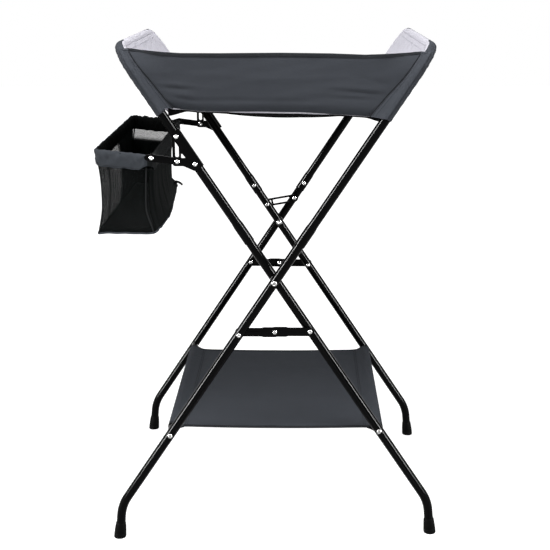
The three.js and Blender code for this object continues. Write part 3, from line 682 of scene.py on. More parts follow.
def cloth_finish(name, base, pitch, bump=0.35, variation=0.12, sheen=0.015, net=None):
    """Woven fabric on the piece's own UV map. A net has holes as well."""
    tree, shader = material(name)
    coordinates = add(tree, "ShaderNodeTexCoord").outputs
    weave = grouped(tree, "Plain weave", {"Vector": coordinates["UV"], "Pitch": pitch})
    tone = grouped(tree, "Fabric tone", {
        "Vector": coordinates["Object"], "Colour": rgba(base), "Shade": weave["Shade"],
        "Variation": variation})
    height = weave["Height"]
    if net:
        mark = add(tree, "ShaderNodeAttribute", attribute_name="open").outputs["Fac"]
        holes = grouped(tree, "Knitted net", {
            "Vector": coordinates["UV"], "Pitch": net, "Open": mark, "Light": 0.95})
        tree.links.new(holes["Alpha"], shader.inputs["Alpha"])
        height = holes["Height"]
    relief = add(tree, "ShaderNodeBump", {
        "Strength": bump, "Distance": 0.0006, "Height": height}).outputs[0]
    feed(tree, shader, {
        "Base Color": tone["Colour"], "Roughness": tone["Roughness"], "Normal": relief,
        "Sheen Weight": sheen, "Sheen Roughness": 0.5, "Specular IOR Level": 0.012})


def finish(name):
    return bpy.data.materials[name]


class TABLE_OT_finishes(Operator):
    """Makes the paint, metal, rubber, plastic, fabric and thread"""

    bl_idname = "changing_table.finishes"
    bl_label = "Finishes"

    def execute(self, context):
        tubes, cloth = context.scene.table_tubes, context.scene.table_cloth
        for make in (weave_group, tone_group, surface_group, net_group):
            make()
        # Colour, range of roughness, dust, grain per metre, relief and shine.
        hard_finish("gloss_paint", tubes.paint, (0.11, 0.17), 0.001, 260.0, 0.05, 0.03)
        hard_finish("plated_steel", tubes.steel, (0.14, 0.24), 0.05, 700.0, 0.04, metallic=1.0)
        hard_finish("cup_rubber", [0.0035] * 3, (0.5, 0.68), 0.002, 900.0, 0.12, 0.012)
        hard_finish("bush_nylon", (0.004, 0.004, 0.0045), (0.38, 0.5), 0.002, 600.0, 0.05, 0.08)
        hard_finish("board_sheet", (0.004, 0.004, 0.0045), (0.45, 0.6), 0.005, 500.0, 0.2, 0.1)
        pitch = cloth.thread_pitch
        cloth_finish("shell_fabric", cloth.shell, pitch)
        cloth_finish("sleeve_fabric", [1.12 * c for c in cloth.shell], pitch, variation=0.2)
        cloth_finish("trim_tape", cloth.trim, pitch * 0.8, bump=0.5)
        cloth_finish("lining_fabric", cloth.lining, pitch * 0.6, bump=0.1, variation=0.03,
                     sheen=0.05)
        # The floor cloth's near-black underside is partly its own dark colour and partly a painted
        # shade under the tub.
        cloth_finish("floor_fabric", (0.0040, 0.0040, 0.0045), pitch, bump=0.4, sheen=0)
        cloth_finish("basket_band", (0.0640, 0.0710, 0.0820), pitch, variation=0.25)
        cloth_finish("basket_net", (0.0050, 0.0065, 0.0065), pitch, bump=0.6, sheen=0,
                     net=cloth.net_pitch)
        # The near-black basket cloth covers the bag's base, and also paints the shade on the band's
        # inner half.
        cloth_finish("basket_fabric", (0.0035, 0.0042, 0.0044), pitch, bump=0.5, sheen=0)
        # The piping cloth also darkens the band's outside by the arms, as a painted shade.
        cloth_finish("piping", (0.022, 0.024, 0.025), pitch * 0.7, bump=0.4, sheen=0.05)
        cloth_finish("sewing_thread", (0.024, 0.025, 0.028), 0.0003, bump=0.2, variation=0.05)
        cloth_finish("pale_thread", (0.50, 0.50, 0.54), 0.0003, bump=0.2, variation=0.05)
        return {"FINISHED"}


# ---------------------------------------------------------------- repeats


def turned_shape(name, profile, sides, recess=0.0, base=False):
    """A turned shape of radius 1 and height 1 on the XY plane, with a cross recess or a base."""
    angle = round_angles(sides)
    grid = np.array([np.stack([r * np.cos(angle), r * np.sin(angle), np.full(sides, z)], axis=1)
                     for r, z in profile])
    slot = np.abs(grid[:, :, :2]).min(axis=2)
    across = smooth(0.62, 0.5, [[r] for r, _ in profile])
    grid[:, :, 2] -= recess * smooth(0.17, 0.07, slot) * across
    skin = Skin().grid(grid[::-1], wrap=True)
    if base:
        skin.fan(grid[0], flip=True)
    skin.fan(grid[-1])
    skin.build(name, [], level=False)


def placed_tree(name, sockets, finish_socket, place):
    """A geometry group that stands shapes on points, realises them and gives them a finish."""
    tree, given, out = group(
        name, {"Geometry": ["Geometry"], **sockets, finish_socket: ["Material"]},
        {"Geometry": ["Geometry"]}, "GeometryNodeTree")
    join = tree.nodes.new("GeometryNodeJoinGeometry")
    for settings in place(tree, given):
        shape = {"Object": given[settings["Instance"]]}
        settings["Instance"] = add(tree, "GeometryNodeObjectInfo", shape).outputs["Geometry"]
        placed = add(tree, "GeometryNodeInstanceOnPoints", settings)
        tree.links.new(placed.outputs[0], join.inputs[0])
    solid = add(tree, "GeometryNodeRealizeInstances", [join.outputs[0]]).outputs[0]
    coated = add(tree, "GeometryNodeSetMaterial", {
        "Geometry": solid, "Material": given[finish_socket]})
    feed(tree, out, [coated.outputs[0]])


def facing(tree, vector):
    return add(tree, "FunctionNodeAlignRotationToVector", {"Vector": vector}, axis="Z").outputs[0]


def fastener_tree():
    """Heads and shanks stood on marked points of a mesh, as one mesh of metal."""
    kinds = ("Rivet head", "Screw head", "Shank")

    def place(tree, given):
        def read(label, kind):
            return add(tree, "GeometryNodeInputNamedAttribute", [label], data_type=kind).outputs[0]

        turn = facing(tree, read("axis", "FLOAT_VECTOR"))
        size = scaled(tree, read("size", "FLOAT_VECTOR"), given["Head scale"])
        for number, label in enumerate(kinds):
            yield {"Points": given["Geometry"], "Instance": label, "Rotation": turn, "Scale": size,
                   "Selection": maths(tree, "COMPARE", read("kind", "FLOAT"), float(number), 0.5)}

    placed_tree("Fasteners", {**{kind: ["Object"] for kind in kinds}, "Head scale": ["Float", 1.0]},
                "Metal", place)


def stitch_tree():
    """Stitches laid end to end along the edges of a mesh, as one mesh of thread."""
    def place(tree, given):
        curve = add(tree, "GeometryNodeMeshToCurve", {"Mesh": given["Geometry"]}).outputs[0]
        points = add(tree, "GeometryNodeResampleCurve", {
            "Curve": curve, "Length": given["Pitch"]}, mode="LENGTH").outputs[0]
        size = given["Width"], given["Width"], given["Length"]
        yield {"Points": points, "Instance": "Stitch",
               "Rotation": facing(tree, add(tree, "GeometryNodeInputTangent").outputs[0]),
               "Scale": add(tree, "ShaderNodeCombineXYZ", size).outputs[0]}

    placed_tree("Stitches", {
        "Stitch": ["Object"], "Pitch": ["Float"], "Width": ["Float"], "Length": ["Float"]},
        "Thread", place)


STITCH_SHARE = 0.76                     # of the pitch that a stitch shows, and the rest is its hole


def grown(name, points, edges, tree_name, values, marks=()):
    """The plain mesh that a geometry tree makes from points, their marks and edges."""
    mesh = bpy.data.meshes.new(name)
    mesh.from_pydata(into_row(points).tolist(), edges, [])
    for label, kind, data in marks:
        layer = mesh.attributes.new(label, kind, "POINT")
        layer.data.foreach_set("vector" if kind == "FLOAT_VECTOR" else "value",
                               np.asarray(data, np.float32).reshape(-1))
    piece = link(name, mesh)
    modifier = piece.modifiers.new(tree_name, "NODES")
    modifier.node_group = bpy.data.node_groups[tree_name]
    for item in modifier.node_group.interface.items_tree:
        if item.item_type == "SOCKET" and item.in_out == "INPUT" and item.name in values:
            modifier[item.identifier] = values[item.name]
    piece = settled(piece)
    finish_shading(piece.data, 40)
    return piece


def stitched(name, lines, body=None, slot="grey_fabric", thread="sewing_thread"):
    """Rows of stitches along lines of points. On a body they ride at once."""
    cloth = bpy.context.scene.table_cloth
    points, edges = [], []
    for line in lines:
        first = len(points)
        points.extend(np.asarray(line, float))
        edges.extend((first + i, first + i + 1) for i in range(len(line) - 1))
    piece = grown(name, points, edges, "Stitches", {
        "Stitch": bpy.data.objects["stitch_shape"], "Pitch": cloth.stitch_pitch,
        "Width": cloth.stitch_width / MM / 2, "Length": STITCH_SHARE * cloth.stitch_pitch / MM,
        "Thread": finish(thread)})
    if body:
        put(piece, body, slot)
    return piece


# ---------------------------------------------------------------- tubes


def leg_line(which, end, top, above_floor):
    """Centre line of a leg, in its frame's axes."""
    reach = (PIVOT.z - ANKLE_HEIGHT) / math.cos(LEG_ANGLE)
    turn = LEG_ANGLE - ANKLE_LEAN
    shin = (ANKLE_HEIGHT - above_floor) / math.cos(ANKLE_LEAN)
    y = end * which["depth"]
    foot = (which["side"] * shin * math.sin(turn), y, -reach - shin * math.cos(turn))
    return rounded([(0, y, top), (0, y, -reach), foot], ANKLE_BEND, 16)


def hoop_line(which, start, steps=18):
    """Centre line of a hoop from one end over the top bar to the other, in its frame's axes."""
    y = which["depth"]
    corners = [(0, -y, start), (0, -y, HOOP_TOP), (0, y, HOOP_TOP), (0, y, start)]
    return rounded(corners, HOOP_BEND, steps)


FOOT_PROFILE = (                        # radius and height of the rubber cup, from its sole up
    (11.2, 0), (12.3, 0.4), (12.8, 1.6), (12.8, 4.5), (12.4, 5.0), (12.4, 5.6), (12.75, 6.1),
    (12.7, 9.4), (12.3, 9.9), (12.3, 10.5), (12.5, 11.0), (12.1, 18), (11.5, 25), (11.1, 28.5),
    (10.8, 31.0), (10.4, 33.0), (10.0, 33.8), (9.4, 33.2))


def make_foot(which, label, end):
    """A rubber cup, ribbed near its sole and cut level with the floor."""
    line = lean(which["side"], leg_line(which, end, 0, 0))
    sole, up = line[-1], unit(line[-2] - line[-1])
    angle = round_angles(32)
    way = np.outer(np.cos(angle), np.cross((0, 1, 0), up)) - np.outer(np.sin(angle), (0, 1, 0))
    rings = []
    for radius, height in FOOT_PROFILE:
        ring = sole + up * height + radius * way
        low = smooth(9.5, 2.0, height)
        rings.append(ring - np.outer(low * (ring[:, 2] - height * up[2]), up / up[2]))
    cup = Skin().grid(rings, wrap=True).fan(rings[0])
    return cup.build(f"{which['name']}_foot_{label}_cup", [finish("cup_rubber")])


class TABLE_OT_tubes(Operator):
    """Makes the legs, hoops, shelf bars, rubber feet and pivot spacers"""

    bl_idname = "changing_table.tubes"
    bl_label = "Tubes and feet"

    def execute(self, context):
        sizes = context.scene.table_tubes
        tube, socket, sides = sizes.tube_radius / MM, sizes.socket_radius / MM, sizes.sides
        # Radius along a hoop's end: its rolled mouth, the widened socket and the step to the tube.
        mouth = [(SOCKET_MOUTH, socket), (91.5, socket + 0.25), (93.0, socket), (130.5, socket),
                 (132.5, socket - 0.3), (138.0, tube + 0.25), (140.5, tube)]

        def bar(name, body, line, radius, flats):
            made = Skin().tube(line, radius, flats).build(f"{name}_tube", [finish("gloss_paint")])
            put(made, body, "frame_paint", name)

        for which in (OUTER, INNER):
            side, body, name, y = which["side"], which["body"], which["name"], which["depth"]
            for label, end in ENDS:
                line = lean(side, leg_line(which, end, 126, 6))
                bar(f"{name}_leg_{label}", body, line, tube, sides)
                put(make_foot(which, label, end), body, "foot_rubber", f"{name}_foot_{label}")
            path, radii = zip(
                *[((0, -y, z), r) for z, r in mouth],
                *[(p, tube) for p in hoop_line(which, SOCKET_MOUTH)[1:-1]],
                *[((0, y, z), r) for z, r in reversed(mouth)])
            bar(f"{name}_hoop", body, lean(side, path), radii, sides)
            shelf_bar = [(-side * BAR_X, share * (y - 5), BAR_Z) for share in (-1, 0, 1)]
            bar(f"shelf_bar_{'left' if side > 0 else 'right'}", body, shelf_bar, 8.0, 24)
        # A flanged bush between the two frames at each pivot.
        low, high = INNER["depth"] + tube + 0.2, OUTER["depth"] - tube - 0.2
        bush = [(low, 8.4), (low + 0.6, 9.0), (low + 3.2, 9.0), (low + 3.8, 8.3),
                (high - 3.8, 8.3), (high - 3.2, 9.0), (high - 0.6, 9.0), (high, 8.4)]
        for label, end in ENDS:
            spacer = Skin().tube([(0, end * y, PIVOT.z) for y, _ in bush], [r for _, r in bush], 28)
            put(spacer.build(f"pivot_spacer_{label}_bush", [finish("bush_nylon")]), OUTER["body"],
                "spacer_nylon", f"pivot_spacer_{label}")
        return {"FINISHED"}


# ---------------------------------------------------------------- plates


def arc(centre, radius, start, end, steps):
    """Points along an arc in XZ, with the angles in degrees from +X towards +Z."""
    angle = np.radians(np.linspace(start, end, steps + 1))
    return np.stack(
        [centre[0] + radius * np.cos(angle), centre[1] + radius * np.sin(angle)], axis=1)


def level_xz(side, reach, aside=0.0):
    """X and Z of a point along a leaning frame's tube, or beside it."""
    return lean(side, [(aside, 0, reach)])[0, ::2]


class TABLE_OT_plates(Operator):
    """Makes the stretcher links, the lock hook, and the basket's hangers and arms"""

    bl_idname = "changing_table.plates"
    bl_label = "Pressed plates"

    def execute(self, context):
        for hand, sign in (("left", -1), ("right", 1)):
            self.links(hand, sign)
        self.lock()
        self.hangers()
        return {"FINISHED"}

    def links(self, hand, sign):
        """The stretchers' links of one side, each with a rib on the face away from the other."""
        low, high = LINK_LAYERS[hand]
        half = np.vstack([
            arc((LINK_X, 0), 9.0, -90, 90, 12), [(27.0, 9.0), (22.5, 10.4)],
            arc((0, 0), 10.4, 90, 270, 14), [(22.5, -10.4), (27.0, -9.0)]])
        rib = np.vstack([arc((52, 0), 2.4, -90, 90, 8), arc((34, 0), 2.4, 90, 270, 8)])
        face = high + 0.7 if hand == "left" else low - 0.7
        for label, end in ENDS:
            plate = flat_plate("plate", half * (sign, 1) + (0, LINK_Z), end, (low, high))
            raised = flat_plate("rib", rib * (sign, 1) + (0, LINK_Z), end,
                                (face, (low + high) / 2), edge=0.6)
            put(joined(f"stretcher_{hand}_{label}", [plate, raised]), f"{hand}_links",
                "frame_paint", f"stretcher_link_{hand}_{label}")

    def lock(self):
        """The slotted hook behind the rear pivot."""
        pivot, stud = level_xz(1, LOCK_REACH), level_xz(-1, STUD_REACH)
        along = unit(stud - pivot)
        up = np.array([-along[1], along[0]]) * np.sign(along[0])
        half, rail, hook, mouth = 9.6, 4.6, 4.4, 14.0
        inside = np.linalg.norm(stud - pivot) + 3.5 + 0.6      # the stud's radius and its slack
        start, tip = inside - mouth, inside + hook
        # Along the hook from its pivot, and across it with its open side down.
        shape = np.vstack([arc((0, 0), half, 90, 270, 12), [
            (start - 3, -half), (start, -half + 2), (start, half - rail - 1.5),
            (start + 1.5, half - rail), (inside - 1.5, half - rail), (inside, half - rail - 1.5),
            (inside, -half + 0.8), (inside + 0.8, -half), (tip - 0.8, -half), (tip, -half + 0.8),
            (tip, half - 3), (tip - 3, half)]])
        window = rounded([(half + rail / 2, -half + rail), (start - rail, -half + rail),
                          (start - rail, half - rail), (half + rail / 2, half - rail)],
                         1.6, 3, closed=True)
        outline, slot = (pivot + np.outer(line[:, 0], along) + np.outer(line[:, 1], up)
                         for line in (shape, window))
        piece = flat_plate("lock_hook_plate", outline, 1, LOCK_LAYER, [slot])
        put(piece, "lock", "frame_paint", "lock_hook")

    def hangers(self):
        """The pressed side plates on the inner hoop, and the arms that reach to the basket."""
        arm, rim = np.array(ARM_RIVET), np.array([BASKET_PIVOT.x, BASKET_PIVOT.z])
        low, high = HANGER_RIVETS[0] - 11, HANGER_RIVETS[1] + 11
        lip, back = 9.8, -8

        def on_tube(*places):
            return [level_xz(-1, z, x) for x, z in places]

        def loop(corners, radius, steps):
            return rounded(corners, radius, steps, closed=True)

        top = (arm[0] - 9, PIVOT.z + HANGER_RIVETS[1] * math.cos(LEG_ANGLE))
        outline = loop([*on_tube((lip + 3, low), (lip + 3, high), (back, high)), top,
                        arm + (-9, -9), arm + (12, -9), *on_tube((back, low))],
                       [1.5, 1.5, 3, 5, 5, 8, 3], 4)
        slot = loop(arm + [(-3.5, 9), (3.5, 9), (3.5, 35), (-3.5, 41)], [2.6, 2.6, 1.5, 1.0], 4)
        window = loop(arm + [(8, 7), (17, 7), (8, 18)], 1.4, 3)
        lip_line = loop(on_tube((lip, low), (lip + 3, low), (lip + 3, high), (lip, high)), 0.8, 3)
        turn = math.degrees(math.atan2(*(rim - arm)[::-1]))
        strap = np.vstack([
            arc(arm, 7.0, turn + 90, turn + 270, 12), arc(rim, 7.0, turn - 90, turn + 90, 12)])
        for label, end in ENDS:
            plate = flat_plate("plate", outline, end, HANGER_LAYER, [slot, window])
            edge = flat_plate("lip", lip_line, end, LIP_LAYER)
            put(joined(f"basket_hanger_{label}_plate", [plate, edge]), INNER["body"], "frame_paint",
                f"basket_hanger_{label}")
            put(flat_plate(f"basket_arm_{label}_strap", strap, end, ARM_LAYER), INNER["body"],
                "frame_paint", f"basket_arm_{label}")


# ---------------------------------------------------------------- fasteners


class TABLE_OT_fasteners(Operator):
    """Makes the rivets, bolts and screws, one mesh for each body"""

    bl_idname = "changing_table.fasteners"
    bl_label = "Rivets and screws"

    def execute(self, context):
        turned_shape("rivet_shape", [
            (1.0, 0), (1.0, 0.22), (0.95, 0.42), (0.80, 0.72), (0.58, 0.92), (0.40, 0.99),
            (0.33, 0.95), (0.27, 0.80), (0.22, 0.74)], 20)
        turned_shape("screw_shape", [
            (1.0, 0), (1.0, 0.24), (0.96, 0.44), (0.84, 0.72), (0.66, 0.91), (0.56, 0.96),
            (0.50, 0.98), (0.42, 0.99), (0.34, 1.0), (0.26, 1.0), (0.18, 1.0), (0.10, 1.0),
            (0.04, 1.0)], 36, 0.55)
        turned_shape("shank_shape", [(1, 0), (1, 1)], 18, base=True)
        turned_shape(
            "stitch_shape", [(0.45, -0.5), (0.9, -0.4), (1, 0), (0.9, 0.4), (0.45, 0.5)], 6,
            base=True)
        fastener_tree()
        stitch_tree()
        objects = bpy.data.objects
        shapes = {"Rivet head": objects["rivet_shape"], "Shank": objects["shank_shape"],
                  "Screw head": objects["screw_shape"], "Metal": finish("plated_steel")}
        for body, table in self.places().items():
            found = [(kind, (x, end * y, z), (0, end * outwards, 0), (radius, radius, tall))
                     for ends, kind, (x, z), y, outwards, radius, tall in table for end in ends]
            kinds, points, axes, scales = zip(*found)
            piece = grown(f"fasteners_{body}", points, [], "Fasteners", shapes, [
                ("kind", "FLOAT", kinds), ("axis", "FLOAT_VECTOR", axes),
                ("size", "FLOAT_VECTOR", scales)])
            put(piece, body, "bright_steel", *self.nodes(body))
        return {"FINISHED"}

    def places(self):
        """For each body: the ends, the kind, its place in XZ and in Y, the way that it points
        (1 outwards), its radius and its height."""
        both, rear = (-1, 1), (1,)
        rivet, screw, shank = 0, 1, 2
        pivot, pin, middle = (0, PIVOT.z), (BASKET_PIVOT.x, BASKET_PIVOT.z), (0, LINK_Z)
        left, right = (-LINK_X, LINK_Z), (LINK_X, LINK_Z)
        hook, stud = level_xz(1, LOCK_REACH), level_xz(-1, STUD_REACH)
        in_wall = INNER["depth"] + 9.0      # inside the outer wall of the inner frame's tubes

        def on_frame(which):
            side, depth = which["side"], which["depth"]
            return [(both, screw, level_xz(side, SOCKET_SCREW), depth - 11.2, -1, 4.8, 1.8),
                    (both, screw, level_xz(side, -SHELF_REACH), depth + 9.5, 1, 5.0, 2.6)]

        return {
            "outer_frame": [
                (both, screw, pivot, OUTER_FACE + 0.1, 1, 5.6, 3.3),
                (both, rivet, pivot, INNER_FACE - 0.1, -1, 6.6, 3.2),
                (both, shank, pivot, INNER_FACE - 0.4, 1, 4.0, 50.0),
                *on_frame(OUTER),
                (both, rivet, left, OUTER_FACE, 1, 4.5, 2.2),
                (both, shank, left, LINK_LAYERS["left"][1], 1, 4.8, 4.0),
                (both, rivet, left, LINK_LAYERS["left"][0] + 0.1, -1, 4.4, 1.3),
                (rear, rivet, hook, OUTER_FACE, 1, 4.8, 1.7),
                (rear, rivet, hook, LOCK_LAYER[0] - 0.1, -1, 4.8, 1.7),
                (rear, shank, hook, LOCK_LAYER[1] + 0.2, 1, 4.8, 5.0)],
            "inner_frame": [
                *on_frame(INNER),
                (both, rivet, right, INNER_FACE, -1, 4.8, 2.0),
                (both, shank, right, in_wall, 1, 4.8, 3.2),
                (both, rivet, right, LINK_LAYERS["right"][1], 1, 4.5, 1.9),
                (rear, rivet, stud, INNER_FACE, -1, 4.8, 2.0),
                (rear, shank, stud, in_wall, 1, 3.5, 8.0),
                *((both, rivet, level_xz(-1, reach), HANGER_LAYER[1], 1, 4.5, 2.2)
                  for reach in HANGER_RIVETS),
                (both, rivet, ARM_RIVET, HANGER_LAYER[1], 1, 4.5, 2.1),
                (both, rivet, ARM_RIVET, ARM_LAYER[0] - 0.1, -1, 4.6, 1.6),
                (both, rivet, pin, ARM_LAYER[1], 1, 4.5, 2.2),
                (both, shank, pin, EYE_LAYER[0] - 0.9, 1, 2.8, 8.0)],
            "left_links": [
                (both, rivet, middle, LINK_LAYERS["left"][1], 1, 4.5, 1.9),
                (both, shank, middle, LINK_LAYERS["right"][1] + 0.2, 1, 2.8, 3.0)],
            "right_links": [(both, rivet, middle, LINK_LAYERS["right"][0], -1, 4.8, 2.0)]}

    def nodes(self, body):
        """The CAD nodes that a body's fasteners stand for."""
        pairs = {
            "outer_frame": ("pivot_bolt", "outer_hoop_screw", "shelf_screw_outer",
                            "stretcher_rivet_left"),
            "inner_frame": ("inner_hoop_screw", "shelf_screw_inner", "stretcher_rivet_right",
                            "hanger_rivet_low", "hanger_rivet_high", "arm_rivet", "basket_pin"),
            "left_links": ("stretcher_pin",)}
        single = {"outer_frame": ["lock_pivot_rivet"], "inner_frame": ["lock_stud"]}
        doubled = [f"{stem}_{label}" for label, _ in ENDS for stem in pairs.get(body, ())]
        return doubled + single.get(body, [])


# ---------------------------------------------------------------- tub


SLEEVE_ENDS = {-1: 399.0, 1: 390.5}     # pivot to the sleeves' lower ends, by side
SLEEVE_SIZE = 10.75
SLEEVE_CLEAR = 12.4                     # a little more than a sleeve's radius at its fullest
FLAP_REACH = {                          # heights, and how far in from the hoop the walls are sewn
    -1: ((902, 918, 954, 992, 1010), (30.5, 27.5, 23, 16.5, 16)),
    1: ((896, 929, 961, 1004), (34, 28, 20, 16.5))}
WALL_START = 15.0                       # from a hoop's middle to where a side wall starts
SETTLING = 8                            # rounds until heights and the edges they hang on agree
TUCK_IN, TUCK_UP = 9.0, 20.0            # how a side wall turns in towards its lower edge
WALL_FABRIC = {"front": 0, "back": 1, "rim": 0}     # grey outside, pale inside
FRONT_LOW = ((-230, -197, -182, -143, -85, -27, 50, 108, 146, 183, 215),
             (903, 901.5, 899.5, 895.5, 895, 895.4, 895, 892, 890.5, 888.5, 885))
FRONT_HIGH = ((-300, -278, -236, -179, -103, 12, 107, 173, 240, 287, 300),
              (1014, 1013, 1010, 1006.5, 1006.4, 1007.5, 1006.6, 1004.3, 1006.8, 1009, 1010))


def hoop_half_width(z):
    """Half the distance between the hoops' tubes at a height."""
    return (np.asarray(z, float) - PIVOT.z) * math.tan(LEG_ANGLE)


def hoop_bend_share(z):
    """How far round its corner bend a hoop's tube is at a height: the sine of its turn."""
    reach = (np.asarray(z, float) - PIVOT.z) / math.cos(LEG_ANGLE)
    return np.clip((reach - (HOOP_TOP - HOOP_BEND)) / HOOP_BEND, 0, 0.93)


def hoop_outside(z, radius):
    """How far out from its tube's middle a sleeve of this radius reaches at a height."""
    rise = HOOP_BEND * hoop_bend_share(z)
    return np.sqrt((HOOP_BEND + radius) ** 2 - rise ** 2) - np.sqrt(HOOP_BEND ** 2 - rise ** 2)


def hoop_inset(z):
    """How far a hoop's corner bend has brought its tube in towards the middle at a height."""
    return HOOP_BEND * (1 - np.sqrt(1 - hoop_bend_share(z) ** 2))


def wall_edges(end, x):
    """Heights of a side wall's lower and upper edges."""
    if end < 0:
        return np.interp(x, *FRONT_LOW), np.interp(x, *FRONT_HIGH)
    share = np.asarray(x, float) / 260.0
    return 897.0 + 3.0 * share ** 2, 941.0 + 16.0 * share ** 2


def wall_distance(x, z):
    """How far a side wall stands from the table's middle, before its creases."""
    width = hoop_half_width(z)
    straight = INNER["depth"] + (OUTER["depth"] - INNER["depth"]) * (0.5 + x / (2 * width))
    near = smooth(95.0, 10.0, width - np.abs(x))
    # In the bend the cloth lies on the sleeve's outside, which stands further out than its middle.
    proud = hoop_outside(z, SLEEVE_SIZE) - SLEEVE_SIZE
    return straight + (proud - hoop_inset(z)) * near


def wall_point(end, u, v):
    """The middle of a side wall's cloth: u along it and v up it, both from 0 to 1."""
    z = np.full(np.broadcast(u, v).shape, 940.0)
    for _ in range(SETTLING):
        x = (hoop_half_width(z) - WALL_START) * (2 * u - 1)
        low, high = wall_edges(end, x)
        z = low + (high - low) * v
    up = z - low
    y = wall_distance(x, z)
    y = y - TUCK_IN * np.clip(1 - up / TUCK_UP, 0, 1) ** 2.2
    slack = smooth(0, 60, hoop_half_width(z) - WALL_START - np.abs(x)) * smooth(0, 12, high - z)
    y = y + slack * (2.2 * bow(v) * bow(u) + 0.7 * ripple(x + 0.4 * z, 170, 0.3 * end)
                     + 0.5 * ripple(z - 0.2 * x, 60, 1.7 + end))
    for centre, reach, width, tilt, rise in WALL_CREASES:
        y = y + slack * rise * crease(x, z, centre, reach, width, tilt)
    return np.stack([x, end * y, z], axis=-1)


WALL_CREASES = (                        # centre in XZ, reach, width, tilt and rise
    ((-200, 941), 38, 3.4, -4, -2.2), ((-196, 948), 42, 4.5, -4, 1.8),
    ((-180, 921), 30, 3.5, -9, -1.8), ((-178, 928), 34, 4.5, -8, 1.2),
    ((185, 932), 60, 3.8, -5, -2.2), ((180, 940), 62, 5.5, -5, 1.7),
    ((150, 922), 60, 4.0, -2, -1.6), ((205, 952), 40, 4.5, -14, -1.2),
    ((-40, 917), 150, 5.0, 0, -1.4), ((60, 960), 120, 7.0, 2, 0.8),
    ((-110, 966), 100, 7.0, -3, 0.8))


def tape_along(skin, line, below, outside, height, half, slot):
    """A tape folded over an edge: below is a line on the cloth further down, and outside is the
    way that the cloth faces."""
    line = np.asarray(line, float)
    half = np.broadcast_to(half, len(line))
    up = unit(line - below)
    outwards = unit(np.cross(tangents(line), up))
    outwards = outwards * np.sign(outwards @ np.asarray(outside, float))[:, None]
    section = [(-1, -1), (-1.04, -0.5), (-1, -0.1), (-0.62, 0.10), (0, 0.17), (0.62, 0.10),
               (1, -0.1), (1.04, -0.5), (1, -1), (0, -1.02)]
    rows = np.array([[p + n * a * h + w * b * height for a, b in section]
                     for p, n, w, h in zip(line, outwards, up, half)])
    flip = float(np.cross(tangents(line)[0], outwards[0]) @ up[0]) > 0
    skin.grid(rows, wrap=True, slot=slot, flip=not flip)
    skin.fan(rows[0], slot=slot, flip=flip)
    skin.fan(rows[-1], slot=slot, flip=not flip)


